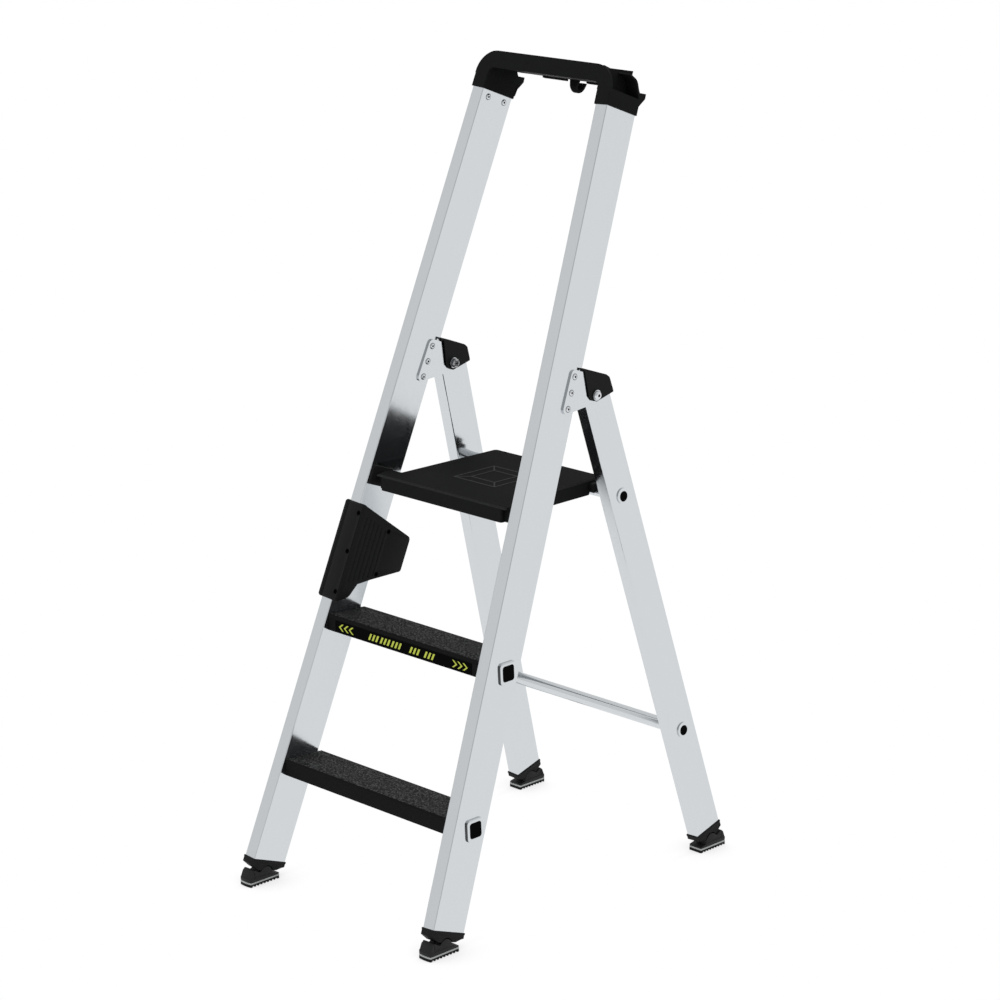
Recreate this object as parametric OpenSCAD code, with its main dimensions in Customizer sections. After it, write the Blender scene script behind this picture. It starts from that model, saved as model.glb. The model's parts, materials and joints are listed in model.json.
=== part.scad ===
// Folding step ladder with two covered steps, a platform and a safety bow.
// X runs across the ladder, +Y points away from the climber, +Z is up.
// The origin is on the floor, in the middle of the ladder's footprint.

/* [Front frame] */
// Backward lean of the front stiles, in degrees from upright
stile_lean = 20.47; // [15:0.01:25]
// Inward taper of each front stile going up, in degrees
stile_taper = 3.26; // [2:0.01:4]
// Half of the distance between the stile centre lines at the floor
half_base = 222.1; // [205:0.1:260]
// Length from the floor to the top end of a stile, along its front face
stile_top = 1440; // [1300:1:1600]
// Width of the stile's box section, across the ladder
stile_w = 25; // [22:0.5:32]
// Depth of the stile's box section, front to back
stile_d = 73; // [65:1:90]
// Wall thickness of the stile's box section
stile_wall = 2; // [1.6:0.1:2.6]
// Radius on the long outer edges of stiles and legs
edge_r = 1.5; // [0.5:0.1:3]

/* [Rear frame] */
// Forward lean of the rear legs, in degrees from upright
leg_lean = 16.44; // [12:0.01:20]
// Inward taper of each rear leg going up, in degrees
leg_taper = 3.5; // [2:0.01:4.5]
// Width of the rear leg's box section
leg_w = 24.2; // [20:0.1:24.6]
// Depth of the rear leg's box section
leg_d = 59; // [50:1:66]
// Wall thickness of the rear leg's box section
leg_wall = 2; // [1.6:0.1:2.6]
// Length of the leg above the hinge pin
leg_head = 10.5; // [9.5:0.5:11]
// Height of the upper cross tube above the floor
upper_tube_z = 675; // [640:1:690]
// Height of the lower cross tube above the floor
lower_tube_z = 235; // [150:1:320]
// Outer radius of both cross tubes
cross_r = 11; // [9:0.5:13]
// Wall thickness of the cross tubes
cross_wall = 2; // [1.5:0.1:2.5]

/* [Hinge] */
// Distance of the hinge pin along the front stile, measured from the floor
pivot_s = 958.3; // [900:0.1:1000]
// Distance of the hinge pin behind the back face of the stile
pivot_back = 39.5; // [36:0.1:48]
// Depth of the hinge pin in the rear leg, from the leg's front face
pin_depth = 22; // [19:0.1:28]
// Radius of the hinge pin
pin_r = 5; // [4:0.1:6]
// Thickness of the hinge plates
plate_t = 2.5; // [2:0.1:3]
// Wall thickness of the moulded leg head caps
hood_wall = 2; // [1.5:0.1:2.5]

/* [Steps] */
// Height of the lower step tube's centre above the floor
first_step_z = 194.8; // [180:0.1:230]
// Height from one step to the next
step_rise = 242.5; // [225:0.5:260]
// How far the steps sit behind the middle of the stiles
step_back = 9.4; // [0:0.2:12]
// Outer size of the square step tube
step_tube = 32; // [28:0.5:36]
// Depth of the tread ahead of the tube's centre
tread_front = 35; // [30:0.5:40]
// Depth of the tread behind the tube's centre
tread_back = 43.5; // [36:0.5:48]
// Thickness of the tread plate
tread_t = 2.5; // [2:0.1:3.5]
// Thickness of the clip-on cover at the back of the step
cover_t = 1.7; // [1.4:0.1:3]
// Drop of the cover's top from the nose to the back
tread_fall = 5; // [0:0.5:7]
// Height of the cover's front apron, top edge to bottom edge
apron_h = 29; // [22:0.5:30]
// Outer size of the square collar on the stile
collar_size = 36; // [35:0.5:44]
// Thickness of the collars
collar_t = 3; // [2:0.1:4]

/* [Platform] */
// Height of the platform's standing surface
deck_z = 693.8; // [688:0.1:720]
// Distance of the platform hinge along the front stile
deck_pivot_s = 738; // [720:1:750]
// Distance of the platform hinge behind the stile's front face
deck_pivot_v = 33.6; // [28:0.1:40]
// Platform length ahead of its hinge
deck_front = 27.5; // [24:0.5:30]
// Half width of the platform over its front ears
ear_half = 154; // [148:0.5:156]
// Length of the ears, front to back
ear_len = 39; // [36:0.5:44]
// Half width of the platform just behind the ears
deck_half_front = 132; // [124:0.5:136]
// Half width of the platform at its back edge
deck_half_back = 128; // [118:0.5:130]
// How far the platform reaches behind the rear cross tube
deck_reach = 10; // [4:0.5:12]
// Half width of the platform's front skirt
skirt_half = 144; // [138:0.5:146]
// Depth of the skirt around the platform
skirt_h = 26.5; // [22:0.5:30]
// Thickness of the platform's top and skirt
deck_t = 3; // [2.5:0.1:4]

/* [Handle] */
// Rise of the bow above the top end of the stiles
bow_rise = 41.5; // [36:0.5:50]
// Height of the bow's straight crossbar
crossbar_h = 29; // [24:0.5:34]
// Radius of the bow's outer corners
bow_r = 41; // [34:1:41]
// Length of stile covered by the bow's sleeves
sleeve_len = 21; // [15:0.5:30]
// Wall thickness of the sleeves and of the tray
bow_wall = 2.3; // [1.8:0.1:3]
// Depth of the tool tray, from the front face to the back wall
tray_depth = 74; // [60:1:80]

/* [Carry pad] */
// Start of the carry pad along the left stile
pad_low = 515; // [500:1:540]
// Length of the carry pad along the stile
pad_len = 177; // [160:1:190]
// Thickness of the pad over the stile's inner face
pad_inner = 13.5; // [11:0.5:15]
// Thickness of the pad over the stile's outer face
pad_outer = 8; // [5:0.5:9]
// Thickness of the pad over the stile's front face
pad_web = 4; // [3:0.5:6]
// How far the pad's flap reaches behind the stile
pad_flap = 56; // [50:1:62]

/* [Feet] */
// Height of the tilting joint of each foot above the floor
foot_axis_z = 16; // [15:0.5:18]
// Distance from the tilting joint to the middle of the sole
foot_setback = 4; // [2:0.5:6]
// Width of the soles
sole_w = 28; // [26:0.5:34]
// Length of the soles
sole_l = 66; // [62:1:76]
// Thickness of the black toothed tread
tread_rubber = 5.2; // [3.6:0.1:6]
// Thickness of the grey sole
sole_t = 2.6; // [2:0.1:4.2]
// Distance from the tilting joint to the cut end of a stile or leg
cap_rise = 24.3; // [22:0.1:30]

/* [Fits] */
// Radial clearance of pins in their bores
pin_fit = 0.05; // [0.02:0.01:0.1]
// Clearance of parts pressed or slid into one another
seat_fit = 0.05; // [0.02:0.01:0.1]
// Smallest gap between parts that move past each other
run_gap = 0.3; // [0.3:0.05:0.6]

/* [Hidden] */
$fn = 64;
overshoot = 1;
stile_cos = cos(stile_lean);
stile_sin = sin(stile_lean);
leg_cos = cos(leg_lean);
leg_sin = sin(leg_lean);

// Foot joint of the front frame: on the stile's middle depth, at foot_axis_z
front_axis_y0 = (stile_d / 2 + foot_axis_z * stile_sin) / stile_cos;
front_axis_s = front_axis_y0 * stile_sin + foot_axis_z * stile_cos;

// Hinge pin seen from the front frame's foot line
pivot_v = stile_d + pivot_back;
pivot_y0 = pivot_v * stile_cos + pivot_s * stile_sin;
pivot_z = pivot_s * stile_cos - pivot_v * stile_sin;

// Rear leg line, from the pin down to the floor
leg_pivot_s = (pivot_z - pin_depth * leg_sin) / leg_cos;
leg_y0 = pivot_y0 - pin_depth * leg_cos + leg_pivot_s * leg_sin;
rear_axis_y0 = leg_y0 + (leg_d / 2 - foot_axis_z * leg_sin) / leg_cos;
rear_axis_s = (foot_axis_z - leg_d / 2 * leg_sin) / leg_cos;

// Both footprints lie evenly about the origin
front_y = -(front_axis_y0 + rear_axis_y0) / 2;
front_axis_y = front_y + front_axis_y0;
rear_axis_y = front_y + rear_axis_y0;
rear_y = front_y + leg_y0;

// Sideways places of the stile and leg centre lines
function stile_x(s) = half_base - s * tan(stile_taper);
hinge_offset = 0.3;
pivot_x = stile_x(pivot_s) + hinge_offset;
leg_base = pivot_x + leg_pivot_s * tan(leg_taper);
head_s = leg_pivot_s / cos(leg_taper);
function leg_x(s) = leg_base - s * tan(leg_taper);
front_cut = front_axis_s + cap_rise;
rear_cut = rear_axis_s + cap_rise;
leg_end = head_s + leg_head;

// Play that the two tapers need where the leg turns between its plates
taper_play = 0.65;
plate_in = max(stile_w / 2, leg_w / 2 + taper_play + run_gap);
plate_out = plate_in + plate_t;
hood_in = plate_out + 2 * taper_play + run_gap;
hood_out = hood_in + hood_wall;
lobe_r = pin_r + 5.5;
washer_r = 9;
washer_t = 1.6;
bolt_head_r = 7.4;
bolt_head_h = 4;
nut_h = 6;

// Steps
step_zs = [first_step_z, first_step_z + step_rise];
tube_in = step_tube - 5;
cover_nose = tread_front + 3.5;
cover_back = tread_back + 1;
nose_top = step_tube / 2 + cover_t + tread_fall;
plug_size = tube_in - 2 * seat_fit;
plug_len = 9;
plug_sunk = 0.9;
cover_gap = 0.4;
strip_w = 328;
strip_h = 20;
strip_t = 0.4;

// Platform hinge
deck_pivot_y = front_y + deck_pivot_v * stile_cos + deck_pivot_s * stile_sin;
deck_pivot_z = deck_pivot_s * stile_cos - deck_pivot_v * stile_sin;
deck_pin_r = 5;
bush_wall = 3;
deck_nose = deck_pivot_y - deck_front;
ear_back = deck_nose + ear_len;
upper_tube_s = (upper_tube_z - leg_d / 2 * leg_sin) / leg_cos;
lower_tube_s = (lower_tube_z - leg_d / 2 * leg_sin) / leg_cos;
function tube_y(s) = rear_y + leg_d / 2 * leg_cos - s * leg_sin;
upper_tube_y = tube_y(upper_tube_s);
deck_back = upper_tube_y + cross_r + run_gap + deck_reach;
deck_slope = (deck_half_front - deck_half_back) / (deck_back - ear_back);
function deck_half(y) = deck_half_front - (y - ear_back) * deck_slope;
catch_back = 16;
ear_step = 9;

// Carry pad: how far inside the stile's face its flap starts, and how deep its outer cheek is
pad_behind = 0.8;
pad_cheek = 42;

// Blind rivets
rivet_r = 2.4;
rivet_head_r = 4.7;
rivet_head_h = 1.5;
rivet_eye_r = 1.1;
plate_rivets = [for (down = [0 : 2]) [stile_d - 17, pivot_s + 19.9 - 27.1 * down]];
bow_rivet_s = stile_top - 32;
bow_rivet_vs = [17.2, stile_d - 16.2];

// ---- Frames and shared shapes ----

// Places children in the front frame: X across, Y into the stile, Z up along it
module front_frame() {
    translate([0, front_y, 0]) rotate([-stile_lean, 0, 0]) children();
}

// Places children in one front stile, with X outward from its centre line
module in_stile(side) {
    front_frame() mirror([side < 0 ? 1 : 0, 0, 0])
        translate([half_base, 0, 0]) rotate([0, -stile_taper, 0]) children();
}

// Places children in the rear frame, on the front face of the rear legs
module rear_frame() {
    translate([0, rear_y, 0]) rotate([leg_lean, 0, 0]) children();
}

// Places children in one rear leg, with X outward from its centre line
module in_leg(side) {
    rear_frame() mirror([side < 0 ? 1 : 0, 0, 0])
        translate([leg_base, 0, 0]) rotate([0, -leg_taper, 0]) children();
}

// Places children at one foot joint on the floor, with -Y toward the toe
module at_foot(side, row) {
    x = row < 0 ? stile_x(front_axis_s) : leg_x(rear_axis_s);
    y = row < 0 ? front_axis_y : rear_axis_y;
    translate([side * x, y, 0]) rotate([0, 0, row < 0 ? 0 : 180]) children();
}

// Stands a side-view outline of [depth, height] points up and gives it a width in X
module side_slab(from, to) {
    translate([from, 0, 0]) rotate([90, 0, 90]) linear_extrude(to - from) children();
}

// A cylinder along X
module x_cylinder(r, from, to) {
    translate([from, 0, 0]) rotate([0, 90, 0]) cylinder(r = r, h = to - from);
}

// A cylinder along Y
module y_cylinder(r, from, to) {
    translate([0, from, 0]) rotate([-90, 0, 0]) cylinder(r = r, h = to - from);
}

// Unit vector from a to b
function toward(a, b) = (b - a) / norm(b - a);

// The arc that rounds the corner b of a path a-b-c to radius r
function corner(a, b, c, r, steps) =
    let (u = toward(b, a), w = toward(b, c), half = acos(u * w) / 2)
    let (centre = b + toward([0, 0], u + w) * r / sin(half))
    let (first = b + u * r / tan(half) - centre, last = b + w * r / tan(half) - centre)
    let (turn = cross(first, last) > 0 ? 180 - 2 * half : 2 * half - 180)
    [for (i = [0 : steps]) centre + spin(first, turn * i / steps)];

function spin(p, a) = [p[0] * cos(a) - p[1] * sin(a), p[0] * sin(a) + p[1] * cos(a)];

// A polygon of [x, y, corner radius] points
module soft_polygon(points, steps = 5) {
    n = len(points);
    xy = [for (p = points) [p[0], p[1]]];
    polygon([for (i = [0 : n - 1])
        each points[i][2] > 0
            ? corner(xy[(i + n - 1) % n], xy[i], xy[(i + 1) % n], points[i][2], steps)
            : [xy[i]]]);
}

// A rectangle centred across and starting at y = 0, with rounded corners
module soft_rect(w, d, r) {
    soft_polygon([[-w / 2, 0, r], [w / 2, 0, r], [w / 2, d, r], [-w / 2, d, r]]);
}

// A long box section with rounded outer edges, standing on Z = from
module box_section(w, d, wall, from, to) {
    translate([0, 0, from]) linear_extrude(to - from) difference() {
        soft_rect(w, d, edge_r);
        translate([-w / 2 + wall, wall]) square([w - 2 * wall, d - 2 * wall]);
    }
}

// A domed blind rivet along +X with its head's seat on X = 0
module blind_rivet(grip) {
    rotate([0, 90, 0]) rotate_extrude($fn = 32) polygon([
        [0, -grip], [rivet_r, -grip], [rivet_r, 0], [rivet_head_r, 0],
        [rivet_head_r * 0.93, rivet_head_h * 0.5], [rivet_head_r * 0.66, rivet_head_h * 0.85],
        [rivet_eye_r * 1.8, rivet_head_h], [rivet_eye_r, rivet_head_h],
        [rivet_eye_r, 0], [0, 0]]);
}

// ---- Front frame ----

// The plain outside of a stile, grown by a gap, used to trim what sits between the stiles
module stile_block(side, gap) {
    in_stile(side) translate([-stile_w / 2 - gap, -gap, 0])
        cube([stile_w + 2 * gap, stile_d + 2 * gap, stile_top]);
}

collar_v = stile_d / 2 + step_back * stile_cos;
function step_y(z) = front_y + (collar_v + z * stile_sin) / stile_cos;

module front_stile(side) {
    color("#cdd1d4") difference() {
        in_stile(side) box_section(stile_w, stile_d, stile_wall, front_cut, stile_top);
        for (z = step_zs)
            translate([0, step_y(z), z]) centred_tube(step_tube + 2 * seat_fit, half_base + stile_w);
        in_stile(side) {
            for (p = plate_rivets)
                translate([0, p[0], p[1]]) x_cylinder(rivet_r + seat_fit, -stile_w, stile_w);
            for (v = bow_rivet_vs)
                translate([0, v, bow_rivet_s]) x_cylinder(rivet_r + seat_fit, -stile_w, 0);
        }
        front_frame() translate([side * stile_x(deck_pivot_s), deck_pivot_v, deck_pivot_s])
            x_cylinder(deck_pin_r + seat_fit, side < 0 ? 0 : -stile_w, side < 0 ? stile_w : 0);
    }
}

// A square bar along X through the middle of the ladder
module centred_tube(size, half) {
    translate([-half, -size / 2, -size / 2]) cube([2 * half, size, size]);
}

// Distance along the stile of a level step's centre
function collar_s(z) = (z + collar_v * stile_sin) / stile_cos;

module step_collar(side, z) {
    in_stile(side) translate([stile_w / 2, collar_v, collar_s(z) / cos(stile_taper)])
        rotate([stile_lean, 0, 0]) rotate([0, 90, 0]) linear_extrude(collar_t)
            translate([0, -collar_size / 2]) soft_rect(collar_size, collar_size, 6);
}

module step(z) {
    tube_half = stile_x(collar_s(z)) + stile_w / 2 + collar_t / 2;
    color("#c4c8cb") difference() {
        union() {
            translate([0, step_y(z), z]) centred_tube(step_tube, tube_half);
            for (side = [-1, 1]) step_collar(side, z);
            difference() {
                translate([-half_base, step_y(z) - tread_front, z + step_tube / 2 - tread_t])
                    cube([2 * half_base, tread_front + tread_back, tread_t]);
                for (side = [-1, 1]) stile_block(side, seat_fit);
                outside_stiles(z);
            }
            difference() {
                tread_ribs(z);
                for (side = [-1, 1]) stile_block(side, seat_fit);
                outside_stiles(z);
            }
        }
        translate([0, step_y(z), z]) centred_tube(tube_in, half_base + stile_w);
    }
}

// Everything beyond the stiles' middle planes at one step
module outside_stiles(z) {
    for (side = [-1, 1])
        translate([side * (stile_x(collar_s(z)) + stile_w), step_y(z), z])
            cube([2 * stile_w, 4 * stile_d, 4 * stile_d], center = true);
}

// The tread's front and back flanges and its stiffening rib
module tread_ribs(z) {
    rib_h = 10;
    for (y = [-tread_front, step_tube / 2 + 12, tread_back - tread_t])
        translate([-half_base, step_y(z) + y, z + step_tube / 2 - rib_h])
            cube([2 * half_base, tread_t, rib_h]);
}

// Side view of the clip-on cover, about the tube's centre
module cover_profile() {
    top = nose_top;
    bottom = nose_top - apron_h;
    seat = step_tube / 2 + seat_fit;
    lip = 6.5;
    soft_polygon([
        [-cover_nose + 0.8, bottom, 0], [-cover_nose + 0.8, top - lip, 0],
        [-cover_nose, top - lip + 0.8, 0], [-cover_nose, top, 3.5],
        [cover_back, top - tread_fall, 1], [cover_back, seat - 8, 0],
        [tread_back + seat_fit, seat - 8, 0], [tread_back + seat_fit, seat, 0],
        [-tread_front - seat_fit, seat, 0], [-tread_front - seat_fit, bottom, 0]]);
}

module step_cover(z) {
    color("#1d1e1f") difference() {
        translate([0, step_y(z), z]) side_slab(-half_base, half_base) cover_profile();
        for (side = [-1, 1]) in_stile(side)
            translate([-stile_w / 2 - cover_gap, -stile_d, 0])
                cube([2 * half_base, 4 * stile_d, stile_top]);
    }
}

module step_end_plugs() {
    color("#101112") for (z = step_zs, side = [-1, 1]) {
        end = stile_x(collar_s(z)) + stile_w / 2 + collar_t - plug_sunk;
        mirror([side < 0 ? 1 : 0, 0, 0]) translate([end - plug_len, step_y(z), z])
            translate([0, -plug_size / 2, -plug_size / 2]) cube([plug_len, plug_size, plug_size]);
    }
}

module marking_strip() {
    z = step_zs[1];
    color("#0c0d0e") translate([-strip_w / 2, step_y(z) - cover_nose + 0.8 - strip_t,
        z + nose_top - apron_h + 1.2]) cube([strip_w, strip_t, strip_h]);
}

// ---- Bow, tray and hook ----

bow_top = stile_top + bow_rise;
bow_half = stile_x(stile_top) + stile_w / 2 + bow_wall;
leg_in = stile_x(stile_top) - stile_w / 2 - bow_wall;
sleeve_low = stile_top - sleeve_len;
recess_s = stile_top + 6;
bow_face = bow_wall - 0.2;

// Front view of the bow above the stile tops
module bow_outline() {
    difference() {
        soft_polygon([[-bow_half, stile_top, 0], [bow_half, stile_top, 0],
            [bow_half, bow_top, bow_r], [-bow_half, bow_top, bow_r]], 12);
        soft_polygon([[-leg_in, stile_top - overshoot, 0], [leg_in, stile_top - overshoot, 0],
            [leg_in, bow_top - crossbar_h, 8], [-leg_in, bow_top - crossbar_h, 8]], 8);
    }
}

// One sleeve over a stile end, with the tongue that reaches down inside the stile
module bow_sleeve(side) {
    tongue_gap = stile_wall + seat_fit;
    in_stile(side) {
        difference() {
            translate([-stile_w / 2 - bow_wall, -bow_wall, sleeve_low])
                linear_extrude(recess_s - sleeve_low)
                    translate([stile_w / 2 + bow_wall, 0]) soft_rect(stile_w + 2 * bow_wall,
                        stile_d + 2 * bow_wall, 2);
            translate([-stile_w / 2 - seat_fit, -seat_fit, sleeve_low - overshoot])
                cube([stile_w + 2 * seat_fit, stile_d + 2 * seat_fit,
                    sleeve_len + overshoot + seat_fit]);
            translate([-stile_w / 2 + 0.2, bow_wall, stile_top + 2.5])
                cube([stile_w - 0.4, stile_d - bow_wall * 2, recess_s]);
        }
        difference() {
            translate([-stile_w / 2 + tongue_gap, tongue_gap, bow_rivet_s - 12])
                cube([stile_w - 2 * tongue_gap, stile_d - 2 * tongue_gap,
                    stile_top + 1 - bow_rivet_s + 12]);
            translate([-stile_w / 2 + tongue_gap + 2.5, tongue_gap + 2.5, bow_rivet_s - 13])
                cube([stile_w, stile_d - 2 * tongue_gap - 5, stile_top - bow_rivet_s + 12]);
            for (v = bow_rivet_vs)
                translate([0, v, bow_rivet_s]) x_cylinder(rivet_r + seat_fit, -stile_w, 0);
        }
    }
}

// Side view of the shell behind each sleeve, with the cord lip at its back
module shoulder_profile() {
    back = stile_d + bow_wall;
    soft_polygon([[back - 1, sleeve_low + 2, 0],
        [back + 1, sleeve_low + 14.5, 0], [back + 11.5, sleeve_low + 29.5, 0],
        [back + 11, sleeve_low + 38, 1], [back - 4.5, sleeve_low + 36, 1.5],
        [back - 8, sleeve_low + 40, 3], [back - 17.5, sleeve_low + 54, 18],
        [back - 38, sleeve_low + 60, 0], [back - 39.5, sleeve_low + 57.5, 0],
        [back - 19.5, sleeve_low + 51, 16], [back - 10.5, sleeve_low + 37, 6],
        [back - 4, sleeve_low + 26, 0], [back - 1, sleeve_low + 22, 0]]);
}

// Side view of the wall between the tray and each sleeve
module cheek_profile() {
    back = stile_d + bow_wall;
    soft_polygon([[0, stile_top + 1.6, 0], [back - 2.7, stile_top + 1.6, 0],
        [back - 2.7, sleeve_low + 30, 0], [back - 9, sleeve_low + 38.5, 0],
        [back - 18.5, sleeve_low + 52.5, 16], [back - 38.5, sleeve_low + 59, 0],
        [0, bow_top - 1, 0]]);
}

module handle_bow() {
    color("#2b2c2d") {
        front_frame() {
            translate([0, -bow_face, 0]) rotate([90, 0, 0]) mirror([0, 0, 1])
                linear_extrude(bow_face + bow_wall) bow_outline();
            for (side = [-1, 1]) mirror([side < 0 ? 1 : 0, 0, 0]) {
                side_slab(leg_in - 0.5, bow_half - 1.2) shoulder_profile();
                side_slab(leg_in - 0.5, leg_in + 2.5) cheek_profile();
            }
        }
        for (side = [-1, 1]) bow_sleeve(side);
    }
}

tray_half = leg_in - 0.5 - seat_fit;
tray_low = bow_top - crossbar_h;
tray_fall = tray_depth * 0.13;

module tool_tray() {
    in_v = bow_wall + seat_fit;
    wall = bow_wall;
    color("#252627") front_frame() {
        side_slab(-tray_half, tray_half) polygon([[in_v, tray_low + 0.5],
            [tray_depth, tray_low + tray_fall], [tray_depth, bow_top + 8],
            [tray_depth - wall, bow_top + 8], [tray_depth - wall, tray_low + tray_fall + wall],
            [in_v + wall, tray_low + wall + 0.8], [in_v + wall, tray_low + 12],
            [in_v, tray_low + 12]]);
        for (x = [-tray_half, -40, 40 - wall, tray_half - wall])
            side_slab(x, x + wall) polygon([[in_v + 0.5, tray_low + 1],
                [tray_depth - 0.5, tray_low + tray_fall + 0.5],
                [tray_depth - 0.5, bow_top - 4], [tray_depth * 0.6, bow_top - 12],
                [in_v + 0.5, tray_low + 11]]);
        for (x = [-67, 34])
            side_slab(x, x + 54) polygon([[tray_depth - 6, tray_low + tray_fall],
                [tray_depth - 6, tray_low + tray_fall - 3.5],
                [tray_depth, tray_low + tray_fall - 3.5], [tray_depth, tray_low + tray_fall + 1]]);
    }
}

// A J-shaped hook that hangs behind the tray
module bucket_hook() {
    hook_t = 4;
    hook_r = 11;
    top = tray_low + tray_fall + 12;
    low = tray_low + 1.5;
    stem_v = tray_depth + seat_fit;
    color("#1c1d1e") front_frame() difference() {
        side_slab(-13, 13) {
            difference() {
                translate([stem_v + hook_r, low]) circle(hook_r);
                translate([stem_v + hook_r, low]) circle(hook_r - hook_t);
                translate([stem_v - overshoot, low]) square(3 * hook_r);
            }
            translate([stem_v, low - 0.1]) square([hook_t, top - low]);
            translate([stem_v + 2 * hook_r - hook_t, low - 0.1]) square([hook_t, 8]);
        }
        for (side = [-1, 1])
            translate([side * 9.3, 0, low - hook_r]) rotate([0, side * 17, 0])
                translate([-4, 0, -20]) cube([9, 3 * stile_d, 48]);
    }
}

module handle_rivets() {
    color("#d6dadd") for (side = [-1, 1], v = bow_rivet_vs)
        in_stile(side) translate([-stile_w / 2, v, bow_rivet_s])
            mirror([1, 0, 0]) blind_rivet(6);
}

// ---- Hinge ----

// Side view of a hinge plate in the stile's own frame
module plate_outline() {
    rivet_v = plate_rivets[0][0];
    top = plate_rivets[0][1] + 11.5;
    low = plate_rivets[2][1] - 14;
    front_low = rivet_v - 11.5;
    lobe = lobe_r + 2.5;
    rise = pivot_s / cos(stile_taper);
    soft_polygon([[front_low, low, 8], [rivet_v - 9, top, 9], [stile_d + 12, top, 12],
        [pivot_v + lobe + 1, rise + lobe * 0.6, lobe * 0.75],
        [pivot_v + lobe * 0.75, rise - lobe * 0.95, lobe * 0.7]]);
}

// A flat plate whose inner side steps in to meet the stile
module hinge_plate(side, face) {
    color("#d8dcdf") difference() {
        in_stile(side) mirror([face < 0 ? 1 : 0, 0, 0]) difference() {
            side_slab(stile_w / 2, plate_out) plate_outline();
            if (plate_in > stile_w / 2)
                translate([0, stile_d + 1, 0]) cube([plate_in, 2 * stile_d, 2 * pivot_s]);
            for (p = plate_rivets)
                translate([0, p[0], p[1]]) x_cylinder(rivet_r + seat_fit, 0, stile_w);
        }
        pin_bore(pin_r + seat_fit);
    }
}

// The hinge pin's bore through everything on both sides
module pin_bore(r) {
    front_frame() translate([0, pivot_v, pivot_s]) x_cylinder(r, -half_base, half_base);
}

module hinge_rivets() {
    color("#d6dadd") for (side = [-1, 1], face = [-1, 1], p = plate_rivets)
        in_stile(side) mirror([face < 0 ? 1 : 0, 0, 0])
            translate([plate_out, p[0], p[1]]) blind_rivet(7);
}

// Places children on the hinge pin, with X outward from the leg's middle
module at_pin(side) {
    front_frame() translate([0, pivot_v, pivot_s])
        mirror([side < 0 ? 1 : 0, 0, 0]) translate([pivot_x, 0, 0]) children();
}

washer_tilt = washer_r * sin(leg_taper);
washer_out = hood_out + washer_tilt + run_gap;

module pivot_bolts() {
    color("#e2e5e7") for (side = [-1, 1]) at_pin(side) difference() {
        union() {
            x_cylinder(pin_r, -washer_out - washer_t - nut_h - 1, washer_out + washer_t + 1);
            translate([washer_out + washer_t + seat_fit, 0, 0]) rotate([0, 90, 0]) rotate_extrude() polygon([
                [0, 0], [bolt_head_r, 0], [bolt_head_r, bolt_head_h * 0.45],
                [bolt_head_r * 0.85, bolt_head_h * 0.85], [bolt_head_r * 0.6, bolt_head_h],
                [0, bolt_head_h]]);
        }
        translate([washer_out + washer_t + bolt_head_h - 2.5, 0, 0]) rotate([0, 90, 0])
            cylinder(r = 3, h = 4, $fn = 6);
    }
}

module pivot_washers() {
    color("#e8eaeb") for (side = [-1, 1], face = [-1, 1])
        at_pin(side) mirror([face < 0 ? 1 : 0, 0, 0]) difference() {
            x_cylinder(washer_r, washer_out, washer_out + washer_t);
            x_cylinder(pin_r + seat_fit, washer_out - 1, washer_out + washer_t + 1);
        }
}

module pivot_nuts() {
    color("#d0d4d7") for (side = [-1, 1]) at_pin(side) mirror([1, 0, 0]) difference() {
        translate([washer_out + washer_t + seat_fit, 0, 0]) rotate([0, 90, 0])
            cylinder(r = pin_r * 1.7, h = nut_h, $fn = 6);
        x_cylinder(pin_r + seat_fit, washer_out, washer_out + washer_t + nut_h + 1);
    }
}

// ---- Rear frame ----

module rear_leg(side) {
    color("#cdd1d4") difference() {
        in_leg(side) box_section(leg_w, leg_d, leg_wall, rear_cut, leg_end);
        for (s = [lower_tube_s, upper_tube_s])
            rear_frame() translate([0, leg_d / 2, s])
                x_cylinder(cross_r + seat_fit, -half_base, half_base);
        pin_bore(bush_r + seat_fit);
    }
}

bush_r = pin_r + bush_wall;

module cross_tube(s) {
    collar_r = cross_r + 2.5;
    half = leg_x(s) + leg_w / 2 + 1;
    color("#d0d4d7") difference() {
        union() {
            rear_frame() translate([0, leg_d / 2, s]) x_cylinder(cross_r, -half, half);
            for (side = [-1, 1])
                in_leg(side) translate([0, leg_d / 2, s / cos(leg_taper)])
                    x_cylinder(collar_r, leg_w / 2, leg_w / 2 + 2);
        }
        rear_frame() translate([0, leg_d / 2, s])
            x_cylinder(cross_r - cross_wall, -half_base - leg_w, half_base + leg_w);
    }
}

module cross_tube_plugs() {
    color("#101112") for (s = [lower_tube_s, upper_tube_s], side = [-1, 1])
        rear_frame() mirror([side < 0 ? 1 : 0, 0, 0])
            translate([leg_x(s) + leg_w / 2, leg_d / 2, s])
                x_cylinder(cross_r - cross_wall - seat_fit, -8, 1.6);
}

module pivot_bushes() {
    color("#e8e6dc") for (side = [-1, 1]) at_pin(side) difference() {
        x_cylinder(bush_r, -leg_w / 2, leg_w / 2);
        x_cylinder(pin_r + pin_fit, -leg_w, leg_w);
    }
}

// Side view of the leg head cap, in the rear frame
function hood_points(s) = [
    [6.8, s + 55.6, 0], [3.6, s + 51, 0.6], [6, s + 49.8, 0.6], [9.2, s + 52.2, 0],
    [11.6, s + 47, 3], [6.7, s + 3, 5], [pin_depth - 10.5, s - 6.4, 5],
    [pin_depth - 2.5, s - 11.8, 2], [leg_d + 2.1, s - 13.4, 1.5], [leg_d + 2.4, s - 8, 2],
    [leg_d + 1.8, s + 13.5, 8], [leg_d - 3.6, s + 20.8, 5]];

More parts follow.
